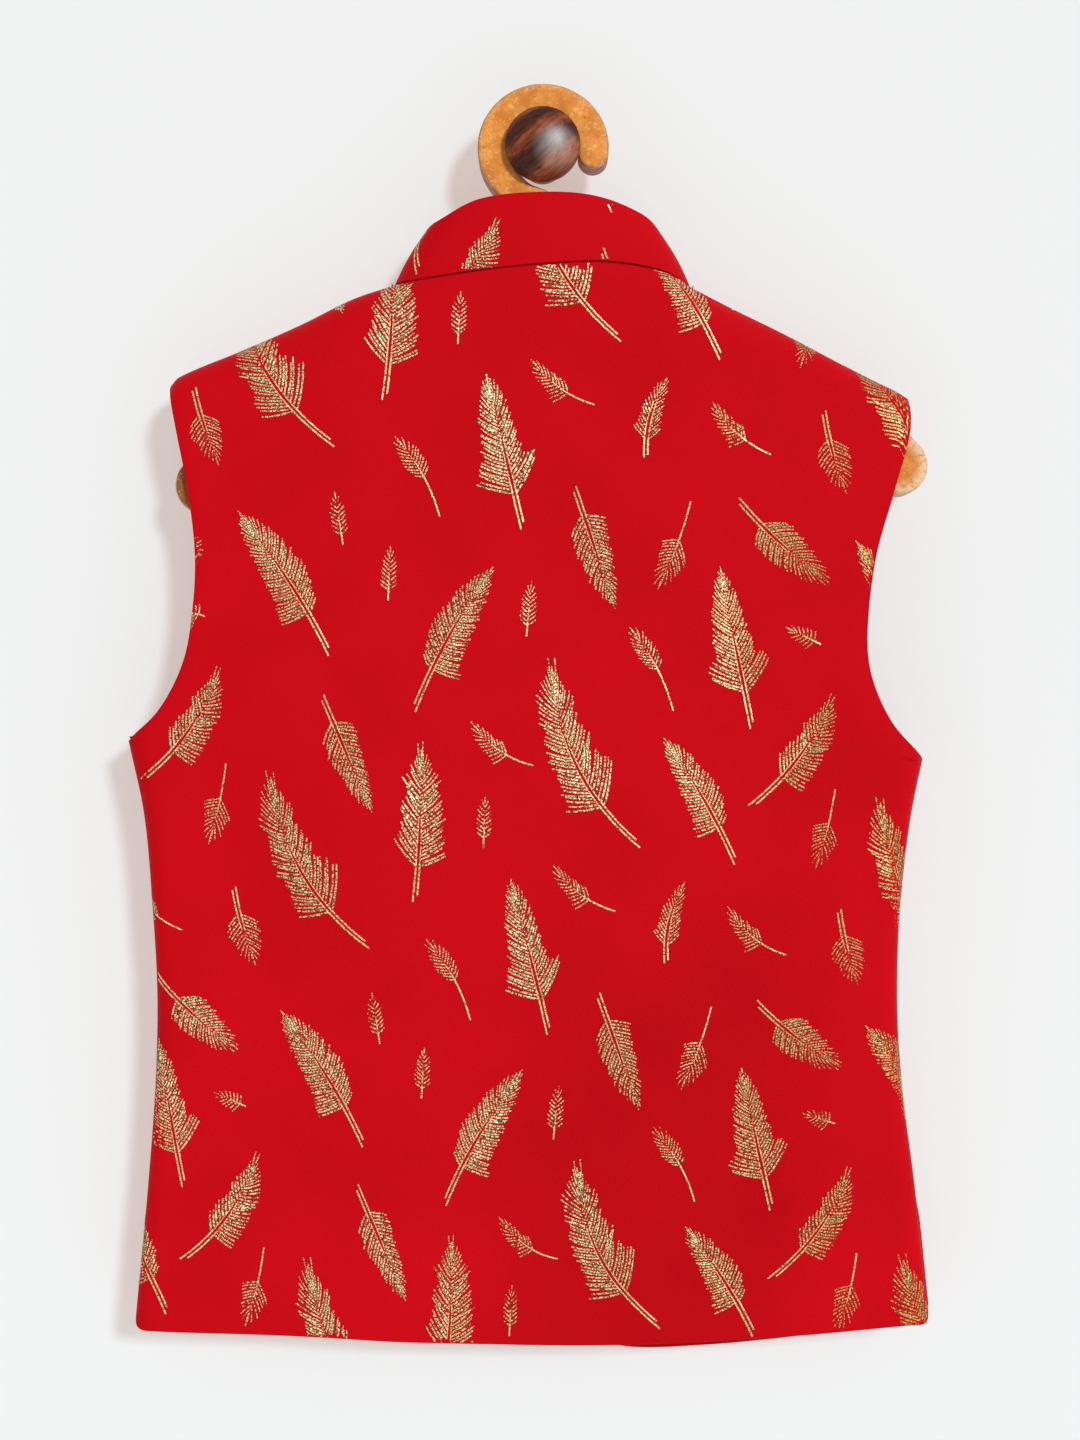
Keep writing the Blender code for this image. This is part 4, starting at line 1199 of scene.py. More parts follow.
# %% Grow each charted feather once, in the flat
def grown_feather(row, number):
    kind, root_s, root_t, tip_s, tip_t, mirrored = row
    (stem, left, left_base, left_low, left_high, right, right_base, right_low, right_high,
     lines, bend, gap, fan, clumps) = KINDS[kind]
    size = float(np.hypot(tip_s - root_s, tip_t - root_t))
    small = size < SMALL
    pitch = SMALL_PITCH if small else PITCH
    if kind in FINE_KINDS:
        pitch = FINE_PITCH
    elif size < TINY:
        pitch = TINY_PITCH
    mesh = grow(feather, {
        "Length": size, "Stem": stem, "Left reach": left, "Left base": left_base,
        "Left low": radians(left_low), "Left high": radians(left_high), "Right reach": right,
        "Right base": right_base, "Right low": radians(right_low),
        "Right high": radians(right_high), "Lines": lines, "Bend": bend, "Gap": gap, "Fan": fan,
        "Clumps": float(clumps), "Pitch": pitch,
        "Line width": SMALL_LINE if small else pitch * LINE, "Parts": 3 if small else 4,
        "Seed": 100 * number, "Look": FOIL_LOOK})
    points = np.empty(len(mesh.vertices) * 3)
    mesh.vertices.foreach_get("co", points)
    points = points.reshape(-1, 3)
    faces = [tuple(p.vertices) for p in mesh.polygons]
    stems = np.empty(len(mesh.vertices))
    mesh.attributes["stem"].data.foreach_get("value", stems)
    bpy.data.meshes.remove(mesh)
    if mirrored:
        points[:, 0] *= -1
        faces = [f[::-1] for f in faces]
    up = np.array([tip_s - root_s, tip_t - root_t]) / size
    across = np.array([up[1], -up[0]])
    flat = np.array([root_s, root_t]) + points[:, :1] * across + points[:, 1:2] * up
    return flat, points[:, 2], stems, faces


feathers = [grown_feather(row, number) for number, row in enumerate(CHART)]
print("feathers:", len(feathers), "points:", sum(len(flat) for flat, _, _, _ in feathers))

# %% [markdown]
# ## Laying the print on the cloth
# A print is flat and the cloth is not. For each point of a feather the nearest spot of the cut is
# found in the flat, and the same spot is then read off the sewn panel, with a hair's breadth
# added along its normal. Points beyond an edge are drawn back to it, and faces that lie wholly
# beyond it are dropped, so a feather is cut off cleanly by a seam, as on cut cloth.

# %% Carry the print on to the panels
# The cloth has crept: by so much across and up at each of these places of the back.
CREPT_ACROSS = [-170.0, -146.0, -138.0, -85.0, 0.0, 85.0, 160.0]
CREPT_UP = [-520.0, -450.0, -380.0, -290.0, -200.0, -170.0, -110.0]
CREPT = np.array([
    [(1, 12), (1, 10), (1, 9), (2, 5), (-1, 5), (-1, 10), (4, 19)],
    [(2, 8), (1, 7), (1, 7), (0, 5), (0, 0), (0, 3), (1, 13)],
    [(4, 2), (3, 1), (3, 1), (2, 0), (1, 0), (1, -1), (-1, 4)],
    [(0, 2), (0, 1), (0, 1), (0, 0), (0, 1), (0, 0), (0, -1)],
    [(-1, 1), (-1, 1), (-1, 1), (-1, 1), (0, 2), (0, 1), (6, -5)],
    [(4, 1), (4, 1), (-1, 1), (-1, 1), (1, 3), (1, 1), (4, -4)],
    [(-1, 1), (-1, 1), (-1, 1), (0, 1), (2, 4), (3, 2), (-1, -1)],
], float)


def crept(points):
    """How far the cloth has crept at these points of the flat cut."""
    column = np.interp(points[:, 0], CREPT_ACROSS, np.arange(len(CREPT_ACROSS)))
    row = np.interp(points[:, 1], CREPT_UP, np.arange(len(CREPT_UP)))
    i = np.minimum(column.astype(int), len(CREPT_ACROSS) - 2)
    j = np.minimum(row.astype(int), len(CREPT_UP) - 2)
    u = (column - i)[:, None]
    v = (row - j)[:, None]
    return ((1 - v) * ((1 - u) * CREPT[j, i] + u * CREPT[j, i + 1])
            + v * ((1 - u) * CREPT[j + 1, i] + u * CREPT[j + 1, i + 1]))


FOIL_LOW = -0.03              # from the cloth to the foil's underside and to its crest
FOIL_HIGH = 0.13
OFF_THE_EDGE = 0.02           # a point further than this from the cut lies beyond its edge
COPIES = range(-3, 4)         # the repeats that can reach a panel, each way


def spread_repeat(lowest, highest):
    """Every copy of every feather that may touch the box between the two corners."""
    for i in COPIES:
        for j in COPIES:
            for flat, height, stems, faces in feathers:
                moved = flat + i * STEP_ACROSS + j * STEP_DOWN
                moved[:, 0] -= EASED_IN * j * (flat[:, 0] + i * STEP_ACROSS[0])
                moved += crept(moved)
                if (moved.max(axis=0) > lowest).all() and (moved.min(axis=0) < highest).all():
                    yield moved, height, stems, faces


COLLAR_SAG = 0.35             # the collar's left end hangs lower, by this share of the way
SAGS_FROM = -32.0             # from here to the end


def printed(panel, name, offset=(0.0, 0.0), sag=0.0):
    """The mesh of the foil on one panel. The offset is where the panel lay on the bolt, and the
    sag lets the print down at the panel's left end."""
    flat = np.stack([panel.s.ravel(), panel.t.ravel()], axis=1)
    outer = panel.outer.reshape(-1, 3)
    normals = panel.normals.reshape(-1, 3)
    quads = panel.quads()
    triangles = np.concatenate([quads[:, [0, 1, 2]], quads[:, [0, 2, 3]]])
    tree = BVHTree.FromPolygons(np.pad(flat, ((0, 0), (0, 1))).tolist(), triangles.tolist())
    points = []
    faces = []
    heights = []
    stems = []
    reach = (flat.min(axis=0) - offset, flat.max(axis=0) - offset)
    for moved, height, stem, parts in spread_repeat(*reach):
        start = len(points)
        moved = moved + offset
        moved[:, 1] -= sag * np.maximum(SAGS_FROM - moved[:, 0], 0.0)
        points.extend(moved.tolist())
        heights.extend(height.tolist())
        stems.extend(stem.tolist())
        faces.extend(tuple(start + k for k in f) for f in parts)
    hits = [tree.find_nearest((s, t, 0.0)) for s, t in points]
    spots = np.array([hit[0][:2] for hit in hits])
    index = np.array([hit[2] for hit in hits])
    beyond = np.array([hit[3] for hit in hits]) > OFF_THE_EDGE
    corner = triangles[index]
    a, b, c = flat[corner[:, 0]], flat[corner[:, 1]], flat[corner[:, 2]]
    area = (b[:, 0] - a[:, 0]) * (c[:, 1] - a[:, 1]) - (c[:, 0] - a[:, 0]) * (b[:, 1] - a[:, 1])
    wb = ((spots[:, 0] - a[:, 0]) * (c[:, 1] - a[:, 1])
          - (c[:, 0] - a[:, 0]) * (spots[:, 1] - a[:, 1])) / area
    wc = ((b[:, 0] - a[:, 0]) * (spots[:, 1] - a[:, 1])
          - (spots[:, 0] - a[:, 0]) * (b[:, 1] - a[:, 1])) / area
    weights = np.stack([1 - wb - wc, wb, wc], axis=1)[..., None]
    heights = np.array(heights)
    share = (heights - heights.min()) / (heights.max() - heights.min())
    away = FOIL_LOW + share * (FOIL_HIGH - FOIL_LOW)
    place = (outer[corner] * weights).sum(axis=1)
    place += (normals[corner] * weights).sum(axis=1) * away[:, None]
    kept = [f for f in faces if not all(beyond[k] for k in f)]
    used = np.unique(np.concatenate([np.array(f) for f in kept]))
    fresh = np.full(len(place), -1)
    fresh[used] = np.arange(len(used))
    mesh = mesh_of(name, place[used], [tuple(fresh[list(f)].tolist()) for f in kept], FOIL_LOOK,
                   smooth=False)
    carry(mesh, "stem", np.array(stems)[used])
    carry(mesh, "crest", share[used])
    print(f"{name}: {len(used)} points, {len(kept)} faces")
    return mesh


print_back = piece("print_back", printed(back, "print_back"))
print_left = piece("print_front_left", printed(left_front, "print_front_left"))
print_right = piece("print_front_right", printed(right_front, "print_front_right"))
print_collar = piece("print_collar", printed(collar, "print_collar", COLLAR_ORIGIN, COLLAR_SAG))

# %% [markdown]
# ## The hanger
# The hanger is sawn from a board and painted orange, and the paint is rubbed off its edges. Its
# outline is the solid's own, with more steps. The board is built as rings of that outline, each
# moved inwards a little and back a little, so its edge is a true round, and the last ring is
# closed with one face. Each ring also carries how near it is to the edge, which tells the finish
# where the paint is chipped.

# %% The hanger's outline
HANGER_THICK = 16.0
ARM_HALF_WIDTH = 13.0
ARM_RADIUS = 204.8
ARM_REACH = 154.0
ARM_TOP = -76.0
HANGER_MIDDLE = 2.0
HANGER_TILT = radians(1.6)
HANGER_EDGE = 2.2
NECK_FOOT = 26.0              # the neck meets the arms' upper edge at this distance along them
# The hook goes round the peg: angle, and the radii of its inner and its outer edge.
HOOK = [
    (  -8.0, 15.9, 29.4),
    (  20.0, 14.2, 29.2),
    (  55.0, 11.2, 28.4),
    (  90.0,  9.8, 28.0),
    ( 125.0, 10.6, 28.2),
    ( 160.0, 12.0, 28.7),
    ( 195.0, 14.0, 29.0),
    ( 228.0, 15.8, 29.3),
]
NECK_LEFT = [(-18.4, -30.0), (-15.2, -42.0)]
NECK_RIGHT = [(14.4, -47.0), (10.6, -30.0), (3.4, -20.4), (-5.6, -16.4)]
HOOK_STEPS = 110
TIP_STEPS = 20
ARM_STEPS = 40
ARM_END_STEPS = 30
LOWER_STEPS = 90
LEFT_NECK_STEPS = 26
RIGHT_NECK_STEPS = 40


def hook_edges():
    """The hook's outer and inner edge, from its tip round to the hanger's neck."""
    spiral = curve([(radians(angle), inner, outer) for angle, inner, outer in HOOK])
    a, inner, outer = spiral(np.linspace(0, 1, HOOK_STEPS + 1)).T
    round_the_peg = np.stack([np.cos(a), np.sin(a)], axis=1)
    return outer[:, None] * round_the_peg, inner[:, None] * round_the_peg


def on_arm(along, off):
    """A point off the arms' arc, at a distance along it, turned by the hanger's tilt."""
    a = asin(along / ARM_RADIUS)
    x = (ARM_RADIUS + off) * sin(a)
    z = (ARM_RADIUS + off) * cos(a) - ARM_RADIUS
    return (HANGER_MIDDLE + x * cos(HANGER_TILT) - z * sin(HANGER_TILT),
            ARM_TOP + x * sin(HANGER_TILT) + z * cos(HANGER_TILT))


def arm_end(side):
    """Half a circle round one arm's end, from its upper edge to its lower one."""
    x, z = on_arm(side * ARM_REACH, 0)
    top_x, top_z = on_arm(side * ARM_REACH, ARM_HALF_WIDTH)
    half_turn = pi * np.arange(ARM_END_STEPS + 1) / ARM_END_STEPS
    turns = atan2(top_z - z, top_x - x) - side * half_turn
    return [(x + ARM_HALF_WIDTH * cos(a), z + ARM_HALF_WIDTH * sin(a)) for a in turns]


def hook_tip(inner, outer):
    """Half a circle from the hook's inner edge round to its outer one."""
    middle = (inner + outer) / 2
    radius = np.linalg.norm(outer - inner) / 2
    turns = atan2(*(inner - middle)[::-1]) + pi * np.arange(1, TIP_STEPS) / TIP_STEPS
    return [(middle[0] + radius * cos(a), middle[1] + radius * sin(a)) for a in turns]


def hanger_outline():
    """The board's outline in its own plane, anticlockwise from the hook's tip."""
    outer_edge, inner_edge = hook_edges()
    arm = np.linspace(NECK_FOOT, ARM_REACH, ARM_STEPS)[:-1]
    left_upper = [on_arm(-s, ARM_HALF_WIDTH) for s in arm]
    right_upper = [on_arm(s, ARM_HALF_WIDTH) for s in arm[::-1]]
    lower = [on_arm(s, -ARM_HALF_WIDTH)
             for s in np.linspace(-ARM_REACH, ARM_REACH, LOWER_STEPS)[1:-1]]
    left_neck = curve([outer_edge[-1], *NECK_LEFT, left_upper[0]])
    right_neck = curve([right_upper[-1], *NECK_RIGHT, inner_edge[-1]])
    return np.array([*hook_tip(inner_edge[0], outer_edge[0]), *outer_edge,
                     *left_neck(np.linspace(0, 1, LEFT_NECK_STEPS)[1:-1]), *left_upper,
                     *arm_end(-1), *lower, *arm_end(1)[::-1], *right_upper,
                     *right_neck(np.linspace(0, 1, RIGHT_NECK_STEPS)[1:-1]), *inner_edge[::-1]])


# %% The hanger's board
RUBBED = 2.4                  # the paint is rubbed this far in from the rounded edge...
PAINT_WHOLE = 2.0             # ...and whole from this much further in
NEAR_RUBBED = 0.35            # how near the rubbed line counts, where the edge is 1
ROUNDING_STEPS = 6
SHARP = radians(40)


def board(name, outline, front, back_face, edge, look):
    """A board with rounded edges between two depths, and how near each point is to its edge."""
    ahead = np.roll(outline, -1, axis=0) - np.roll(outline, 1, axis=0)
    inward = np.stack([-ahead[:, 1], ahead[:, 0]], axis=1)
    inward /= np.linalg.norm(inward, axis=1)[:, None]
    rounding = [(edge * (1 - sin(a)), edge * (1 - cos(a)), 1.0)
                for a in np.linspace(0, pi / 2, ROUNDING_STEPS)]
    profile = [(edge + RUBBED + PAINT_WHOLE, 0.0, 0.0), (edge + RUBBED, 0.0, NEAR_RUBBED),
               *rounding]
    rings = [(inset, front + deep, near) for inset, deep, near in profile]
    rings += [(inset, back_face - deep, near) for inset, deep, near in reversed(profile)]
    n = len(outline)
    points = []
    nearness = []
    for inset, y, near in rings:
        points.extend((x, y, z) for x, z in outline + inset * inward)
        nearness.extend([near] * n)
    faces = [tuple(range(n))]
    for k in range(len(rings) - 1):
        for i in range(n):
            j = (i + 1) % n
            faces.append((k * n + i, (k + 1) * n + i, (k + 1) * n + j, k * n + j))
    faces.append(tuple(range(len(rings) * n - 1, (len(rings) - 1) * n - 1, -1)))
    mesh = mesh_of(name, points, faces, look)
    mesh.set_sharp_from_angle(angle=SHARP)
    carry(mesh, "near edge", nearness)
    return mesh


# %% [markdown]
# ## Worn paint
# The finish tells the board's flat faces from its sawn sides by the direction they face. The
# faces have a mottled orange paint with dark specks; the sides show the sawn wood in thin layers;
# and along the edges the paint is chipped down to the bare wood. The left arm's end is painted
# dark brown as painted shadow, where the jacket's shadow falls on it, and the right arm's end is
# paler round its rim.

# %% Worn orange paint
ORANGE_DEEP = (0.640, 0.212, 0.032, 1)
ORANGE = (0.800, 0.325, 0.062, 1)
ORANGE_PALE = (0.880, 0.440, 0.125, 1)
# Painted shadow: the dark brown of the left arm's end, where the jacket's shadow falls.
PAINTED_SHADE_LEFT_END = (0.190, 0.055, 0.022, 1)
BARE_WOOD = (0.85, 0.62, 0.40, 1)
SAWN = (0.62, 0.37, 0.30, 1)
SAWN_DARK = (0.27, 0.120, 0.090, 1)
SPECK = (0.13, 0.045, 0.020, 1)
PAINT_RELIEF = 0.35


def worn_paint():
    net = Finish("worn orange paint", Specular_IOR_Level=0.15)
    where = net.spot()
    facing = net.add("ShaderNodeNewGeometry", out="Normal")
    flat = facing.part("Y").size().between(0.55, 0.8)
    near = net.carried("near edge")
    mottled = net.noise(where, 9.0, 5.0, 0.65)
    fine = net.noise(where, 1.6, 4.0, 0.7)
    paint = net.blend(mottled.between(0.35, 0.62), ORANGE_DEEP, ORANGE)
    paint = net.blend((mottled * 0.4 + fine * 0.6).between(0.50, 0.62), paint, ORANGE_PALE)
    specks = net.noise(where, 1.5, 1.0, 0.5).between(0.72, 0.75)
    paint = net.blend(specks * 0.6, paint, SPECK)
    # Painted shadow: the left arm's end is painted dark brown.
    painted_shade_left_end = 1 - where.part("X").between(-172 * MM, -135 * MM)
    paint = net.blend(painted_shade_left_end * 0.97, paint, PAINTED_SHADE_LEFT_END)
    layers = net.noise(where, 1.3, 3.0, 0.7, (0.16, 1.0, 0.16))
    sawn = net.blend(layers.between(0.42, 0.62), SAWN_DARK, SAWN)
    chips = (net.noise(where, 1.7, 4.0, 0.75) + near * 0.11).between(0.65, 0.72)
    colour = net.blend(flat, sawn, paint)
    right_end = where.part("X").between(150 * MM, 156 * MM)
    colour = net.blend(right_end * near * fine.between(0.36, 0.50) * 0.8, colour, BARE_WOOD)
    colour = net.blend(chips * (0.10 + near * 0.40), colour, BARE_WOOD)
    relief = fine * 0.4 + mottled * 0.4 - specks * 0.6 - chips * 0.3 + layers * (1 - flat)
    return net.coat(Base_Color=colour, Roughness=chips * 0.2 + 0.5,
                    Normal=net.bump(relief, PAINT_RELIEF))


sawn_outline = hanger_outline()
piece("hanger_board", board("hanger_board", sawn_outline, MID_PLANE - HANGER_THICK / 2,
                            MID_PLANE + HANGER_THICK / 2, HANGER_EDGE, worn_paint()),
      ["hanger"])
print("hanger outline:", len(sawn_outline), "points")

# %% [markdown]
# ## Turned pieces
# The peg and the buttons are turned: a profile goes round an axis. The Screw modifier would do
# it; a short loop is used because it also closes the poles with single points.

# %% Turning
def turned(name, profile, steps, place, look):
    """A solid of revolution. The profile runs from the top down as radius and height; place
    turns a point beside the axis, and its height, into the row's x, y and z."""
    points = [place(0.0, 0.0, profile[0][1])]
    for radius, height in profile[1:-1]:
        for i in range(steps):
            a = 2 * pi * i / steps
            points.append(place(radius * cos(a), radius * sin(a), height))
    points.append(place(0.0, 0.0, profile[-1][1]))
    rings = len(profile) - 2
    faces = []
    for i in range(steps):
        j = (i + 1) % steps
        faces.append((0, 1 + i, 1 + j))
        for k in range(rings - 1):
            low = 1 + k * steps
            faces.append((low + i, low + steps + i, low + steps + j, low + j))
        last = 1 + (rings - 1) * steps
        faces.append((last + i, len(points) - 1, last + j))
    return mesh_of(name, points, faces, look)


# %% [markdown]
# ## The wall peg
# The peg is a dowel with a broad, low domed head, turned from a dark hardwood and varnished. The
# figure of the wood runs across the dome in slanting bands from near black to a warm brown. Right
# of the head's middle the clear coat is strongest, so the sun's broad, soft highlight falls there,
# and there the wood is also painted lighter, as a painted highlight.

# %% Varnished wood
WOOD_BLACK = (0.026, 0.004, 0.001, 1)
WOOD_DARK = (0.085, 0.013, 0.003, 1)
WOOD_RED = (0.190, 0.036, 0.007, 1)
WOOD_WARM = (0.340, 0.100, 0.026, 1)
BAND = 13.5                   # from one band of the figure to the next
HIGHLIGHT_PATCH_RIGHT = 6.0          # the highlight patch lies to the right of the head's middle...
HIGHLIGHT_PATCH_LOW = 2.5            # ...and below it
PORE_RELIEF = 0.06


def dark_wood():
    net = Finish("dark varnished wood", Coat_Roughness=0.49, Coat_IOR=2.2,
                 Specular_IOR_Level=0.10)
    turned_wood = net.add("ShaderNodeMapping", None,
                          {0: net.spot(), "Rotation": (0.25, radians(38), 0.3)})
    drift = net.noise(turned_wood, 16.0, 3.0, 0.6, (0.45, 1.0, 1.0))
    figure = turned_wood.part("Z") * (2 * pi / (BAND * MM)) + turned_wood.part("X") * 30
    bands = (figure + drift * 7.0).sine()
    pores = net.noise(turned_wood, 0.7, 3.0, 0.7, (0.10, 1.0, 1.0))
    fine = net.noise(turned_wood, 1.7, 4.0, 0.7, (0.12, 1.0, 1.0))
    # A patch right of the head's middle and a little below it: the clear coat is strongest there,
    # so the sun's highlight falls there, and the tone is painted lighter there as a painted
    # highlight.
    right = net.spot().part("X") / MM - HIGHLIGHT_PATCH_RIGHT
    above = net.spot().part("Z") / MM + HIGHLIGHT_PATCH_LOW
    highlight_patch = 1 - (right * right + above * above).between(10, 150)
    tone = bands * 0.28 + fine * 1.1 + pores * 0.5 + highlight_patch * 0.15 - 0.40
    colour = net.ramp(tone, (0.10, WOOD_BLACK), (0.40, WOOD_DARK), (0.62, WOOD_RED),
                      (0.95, WOOD_WARM))
    return net.coat(Base_Color=colour, Roughness=pores * 0.18 + 0.42,
                    Coat_Weight=(highlight_patch * 0.88 + 0.12) * (fine + 0.5),
                    Normal=net.bump(pores, PORE_RELIEF))


# %% Peg
PEG_SHAFT_RADIUS = 9.5
PEG_BREAK = 0.6               # the shaft's edges are broken by this much
PEG_HEAD_RADIUS = 16.6
PEG_HEAD_BACK = -33.5
PEG_HEAD_RIM = 3.0
PEG_DOME = 8.5
PEG_SOFT = 1.1
DOME_STEPS = 26
HEEL_STEPS = 6
PEG_SIDES = 96


def facing_room(a, b, height):
    return (a, -height, b)


def peg_profile():
    head = -PEG_HEAD_BACK
    rim = head + PEG_HEAD_RIM
    dome = [(PEG_HEAD_RADIUS * cos(a), rim + PEG_DOME * sin(a))
            for a in np.linspace(pi / 2, 0, DOME_STEPS)[1:]]
    heel = [(PEG_HEAD_RADIUS - PEG_SOFT * (1 - cos(a)), head + PEG_SOFT * (1 - sin(a)))
            for a in np.linspace(0, pi / 2, HEEL_STEPS)]
    return [(0.0, rim + PEG_DOME), *dome, *heel, (PEG_SHAFT_RADIUS + PEG_BREAK, head),
            (PEG_SHAFT_RADIUS, head - PEG_BREAK), (PEG_SHAFT_RADIUS, PEG_BREAK),
            (PEG_SHAFT_RADIUS - PEG_BREAK, 0.0), (0.0, 0.0)]


knob = turned("peg_knob", peg_profile(), PEG_SIDES, facing_room, dark_wood())
piece("peg_knob", knob, ["wall_peg"])
print("peg:", len(knob.vertices), "points")

# %% [markdown]
# ## Buttons
# Five domed metal shank buttons close the left front. Each has a plain dome, a groove and a
# rolled rim, and sits where the solid button that it stands for does.

# %% Buttons
BUTTON_RADIUS = 7.5
BUTTON_HEIGHT = 3.6
BUTTON_SIDES = 48
TARNISH = (0.30, 0.17, 0.05, 1)
ANTIQUE_GOLD = (0.83, 0.58, 0.24, 1)


def antique_gold():
    net = Finish("antique gold metal", Metallic=1.0)
    tarnish = net.noise(net.spot(), 1.4, 4.0, 0.6)
    colour = net.blend(tarnish.between(0.35, 0.65), TARNISH, ANTIQUE_GOLD)
    return net.coat(Base_Color=colour, Roughness=tarnish * 0.3 + 0.18,
                    Normal=net.bump(tarnish, 0.05))


METAL_LOOK = antique_gold()


def button_profile():
    """The dome, the groove round it and the rolled rim, as shares of the radius and height."""
    r = BUTTON_RADIUS
    h = BUTTON_HEIGHT
    dome = [(0.66 * r * sin(a), h * (0.45 + 0.55 * cos(a))) for a in np.linspace(0, pi / 2, 12)]
    groove = [(0.70 * r, 0.38 * h), (0.75 * r, 0.38 * h)]
    rim = [(0.875 * r + 0.125 * r * cos(a), 0.36 * h + 0.30 * h * sin(a))
           for a in np.linspace(pi, -pi / 2, 14)]
    return [*dome, *groove, *rim, (0.0, 0.0)]


def button_seat(number):
    """The middle of a solid button, and how far out the cloth that it sits on stands."""
    low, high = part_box(f"button_{number}")
    return (Vector(low) + Vector(high)) / 2 / MM, low[1] / MM


for number in range(1, BUTTONS + 1):
    seat, base = button_seat(number)

    def on_front(a, b, height, seat=seat, base=base):
        return (seat.x + a, base + height, seat.z - b)

    name = f"button_dome_{number}"
    piece(name, turned(name, button_profile(), BUTTON_SIDES, on_front, METAL_LOOK),
          [f"button_{number}"])
    print(f"{name}: at x {seat.x:.1f}, z {seat.z:.1f}")

# %% [markdown]
# ## Seam thread and buttonholes
# The collar is sewn on with a dark red thread that lies in the seam's groove as a row of short
# stitches, and a closer, thicker row fills the groove inside the neck. The buttonholes behind the
# buttons are worked with the same thread, closer still. All are one recipe: points along a path,
# and on each a bead turned to the path and pulled long.

# %% Stitches
THREAD_RED = (0.135, 0.003, 0.006, 1)
BEAD_SEGMENTS = 8
BEAD_RINGS = 5
STITCHES = {"Spacing": 1.5 * MM, "Along": 1.7 * MM, "Out": 1.0 * MM, "Across": 1.0 * MM,
            "Seed": 1}
TURNING = {"Spacing": 1.1 * MM, "Out": 1.7 * MM, "Across": 2.0 * MM}
BUTTONHOLE = {"Spacing": 0.7 * MM, "Along": 0.8 * MM, "Out": 0.8 * MM, "Across": 1.8 * MM}
SEAM_DEPTH = 0.1              # from the middle of the collar's cloth in to the row of stitches
TURNING_DEPTH = 0.95
HOLE_LENGTH = 19.5
HOLE_WIDTH = 1.5


def stitch_recipe():
    net = Recipe("stitches", STITCHES)
    path = net.add("GeometryNodeMeshToCurve", None, {"Mesh": net.given("Geometry")})
    spots = net.add("GeometryNodeCurveToPoints", {"mode": "LENGTH"},
                    {"Curve": path, "Length": net.given("Spacing")})
    tangent = Wire(net, spots.socket.node.outputs["Tangent"])
    turn = net.add("FunctionNodeAlignRotationToVector", {"axis": "X"}, {"Vector": tangent})
    bead = net.add("GeometryNodeMeshUVSphere", None,
                   {"Segments": BEAD_SEGMENTS, "Rings": BEAD_RINGS, "Radius": 0.5})
    uneven = net.chance(0.88, 1.12, net.given("Seed"))
    size = net.vector(net.given("Along") * uneven, net.given("Out"), net.given("Across") * uneven)
    net.end(net.add("GeometryNodeInstanceOnPoints", None,
                    {"Points": spots, "Instance": bead, "Rotation": turn, "Scale": size}))
    return net


def red_thread():
    net = Finish("dark red thread", Specular_IOR_Level=0.15, Roughness=0.7)
    fuzz = net.noise(net.spot(), 0.5, 2.0)
    colour = net.blend(fuzz, THREAD_RED, RED_DEEP)
    return net.coat(Base_Color=net.blend(0.25, THREAD_RED, colour), Normal=net.bump(fuzz, 0.1))


def along_the_neck(depth):
    """The groove between the collar and the panels, at this depth from the cloth's middle."""
    seam = collar.outer[0]
    return (seam - collar.normals[0] * depth - np.array([0.0, 0.0, SEAM_GAP / 2])) * MM


def round_the_hole(middle, front):
    """A slim closed path round one buttonhole, on the front's outer face."""
    flat = HOLE_LENGTH / 2 - HOLE_WIDTH / 2
    ends = [(flat + HOLE_WIDTH / 2 * cos(a), HOLE_WIDTH / 2 * sin(a))
            for a in np.linspace(-pi / 2, pi / 2, 9)]
    ends += [(-x, -z) for x, z in ends] + ends[:1]
    return np.array([(middle.x + x, front, middle.z + z) for x, z in ends]) * MM


stitches = stitch_recipe()
THREAD_LOOK = red_thread()
seam = grow(stitches, {"Look": THREAD_LOOK}, along_the_neck(SEAM_DEPTH))
piece("neck_seam", seam)
turning = grow(stitches, {**TURNING, "Look": THREAD_LOOK}, along_the_neck(TURNING_DEPTH))
piece("neck_seam_inside", turning)
for number in range(1, BUTTONS + 1):
    hole = grow(stitches, {**BUTTONHOLE, "Seed": number, "Look": THREAD_LOOK},
                round_the_hole(*button_seat(number)))
    piece(f"buttonhole_{number}", hole)
print("stitches in the neck seam:", len(seam.polygons) // (BEAD_SEGMENTS * BEAD_RINGS))

# %% [markdown]
# Each panel is a sheet that was cut flat and then sewn. Its flat size is what the tape measures
# over its rolls.

# %% [markdown]
# ## Wall, floor and light
# The wall and the floor are plain and pale. They are planes that only show their front, so that
# a view from behind looks through the wall at the jacket's buttoned side. A broad, soft sun from
# the upper right makes the soft shadow to the left of the jacket and below its hem, and the light
# of a pale room fills it.

# %% Stage
WALL_GAP = 0.3                # the wall stands this far behind the peg's rear face
WALL_HALF = 1500.0
FLOOR_LEVEL = -900.0
BACKDROP_TINT = (0.33, 0.445, 0.48, 1)
BACKDROP_GLOW = (1.0, 0.81, 0.745, 1)


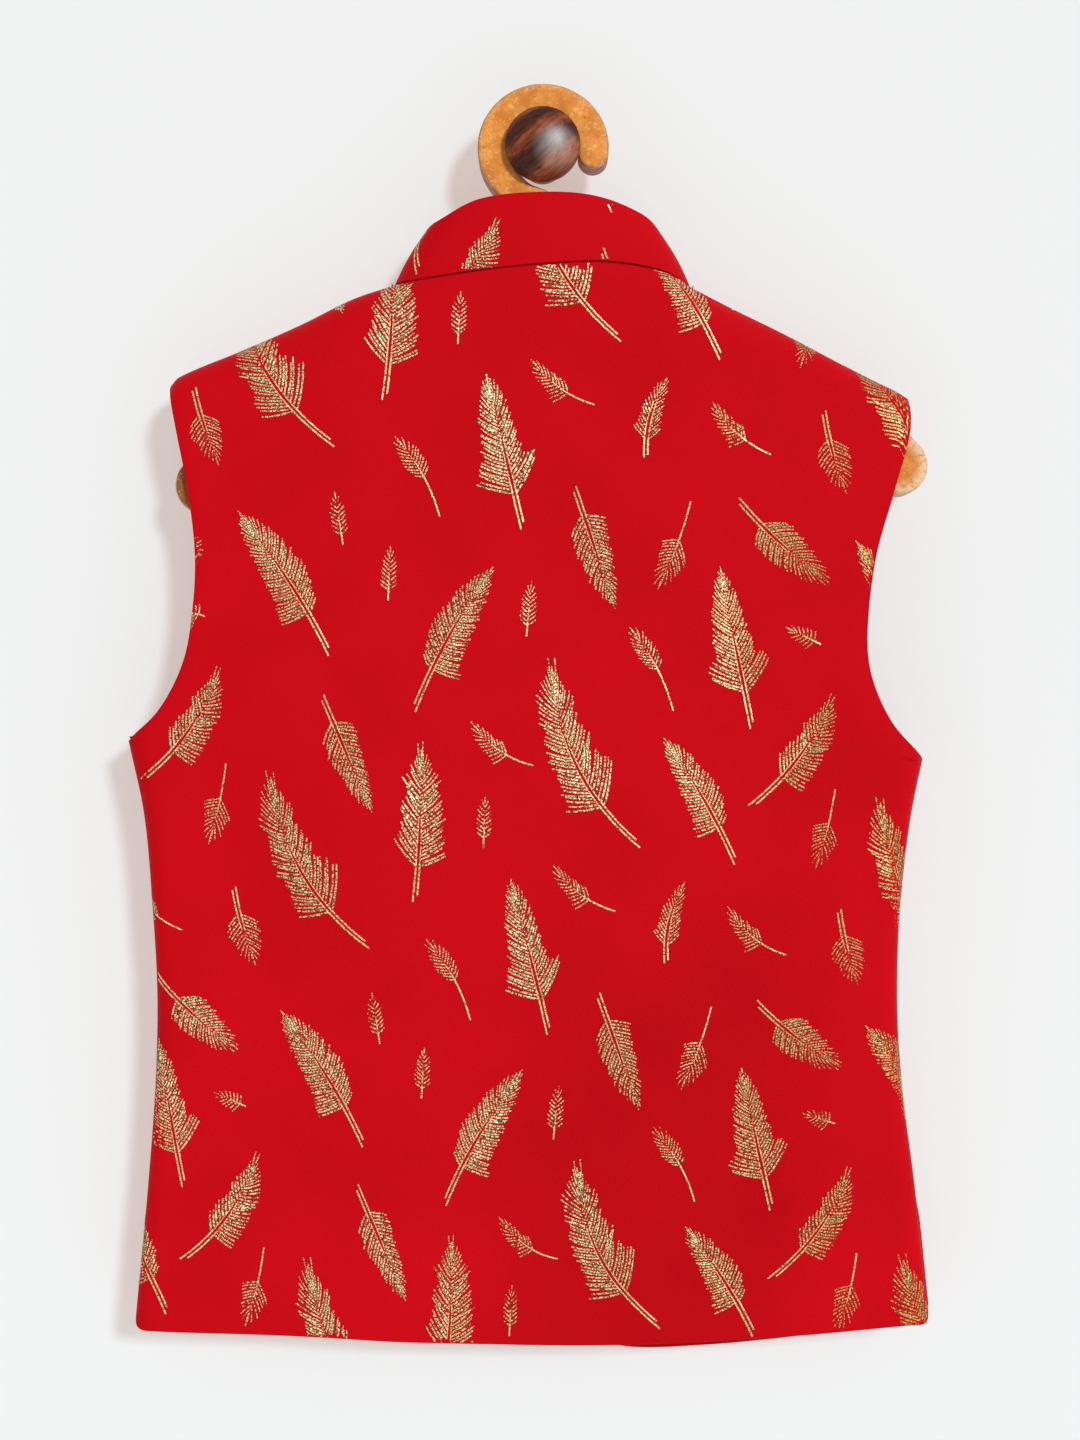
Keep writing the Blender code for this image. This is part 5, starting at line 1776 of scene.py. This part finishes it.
def plain_backdrop():
    net = Finish("plain pale backdrop", Base_Color=BACKDROP_TINT, Roughness=0.9,
                 Specular_IOR_Level=0.05, Emission_Color=BACKDROP_GLOW, Emission_Strength=0.52)
    behind = net.add("ShaderNodeNewGeometry", out="Backfacing")
    clear = net.add("ShaderNodeBsdfTransparent")
    seen = net.add("ShaderNodeMixShader", None, {0: behind, 2: clear})
    net.tree.links.new(net.shader.outputs[0], seen.socket.node.inputs[1])
    net.tree.links.new(seen.socket, net.tree.nodes["Material Output"].inputs[0])
    return net.material


BACKDROP = plain_backdrop()
w = WALL_HALF
wall_points = [(-w, WALL_GAP, FLOOR_LEVEL), (w, WALL_GAP, FLOOR_LEVEL),
               (w, WALL_GAP, w), (-w, WALL_GAP, w)]
floor_points = [(-w, -2 * w, FLOOR_LEVEL), (w, -2 * w, FLOOR_LEVEL),
                (w, WALL_GAP, FLOOR_LEVEL), (-w, WALL_GAP, FLOOR_LEVEL)]
for name, points in (("wall", wall_points), ("floor", floor_points)):
    placed(name, mesh_of(name, points, [(0, 1, 2, 3)], BACKDROP, False))

# %% Lights
SUN_TURN = radians(25)        # how far to the right of the camera the sun stands
SUN_RISE = radians(18)
SUN_SIZE = radians(9)
SUN_STRENGTH = 2.07
SUN_TINT = (0.955, 1.0, 1.005)
ROOM_STRENGTH = 0.64
ROOM_PALE = (1.0, 0.84, 0.80, 1)
ROOM_DARK = (0.40, 0.34, 0.32, 1)

sun = placed("key", bpy.data.lights.new("key", "SUN"))
sun.data.angle = SUN_SIZE
sun.data.energy = SUN_STRENGTH
sun.data.color = SUN_TINT
towards = Vector((-sin(SUN_TURN) * cos(SUN_RISE), cos(SUN_TURN) * cos(SUN_RISE), -sin(SUN_RISE)))
sun.rotation_euler = towards.to_track_quat("-Z", "Y").to_euler()


def room_light():
    """A pale room that is darker behind the camera, so that nothing there whitens the gloss."""
    world = bpy.data.worlds.new("pale room")
    world.use_nodes = True
    net = Net(world.node_tree)
    ahead = net.add("ShaderNodeTexCoord", out="Generated").part("Y")
    colour = net.blend((ahead * -1).between(0.55, 0.90), ROOM_PALE, ROOM_DARK)
    shine = world.node_tree.nodes["Background"]
    net.tree.links.new(colour.socket, shine.inputs[0])
    shine.inputs[1].default_value = ROOM_STRENGTH
    return world


bpy.context.scene.world = room_light()
bpy.context.scene.view_settings.view_transform = "Standard"
print("sun strength", SUN_STRENGTH, "and room strength", ROOM_STRENGTH)
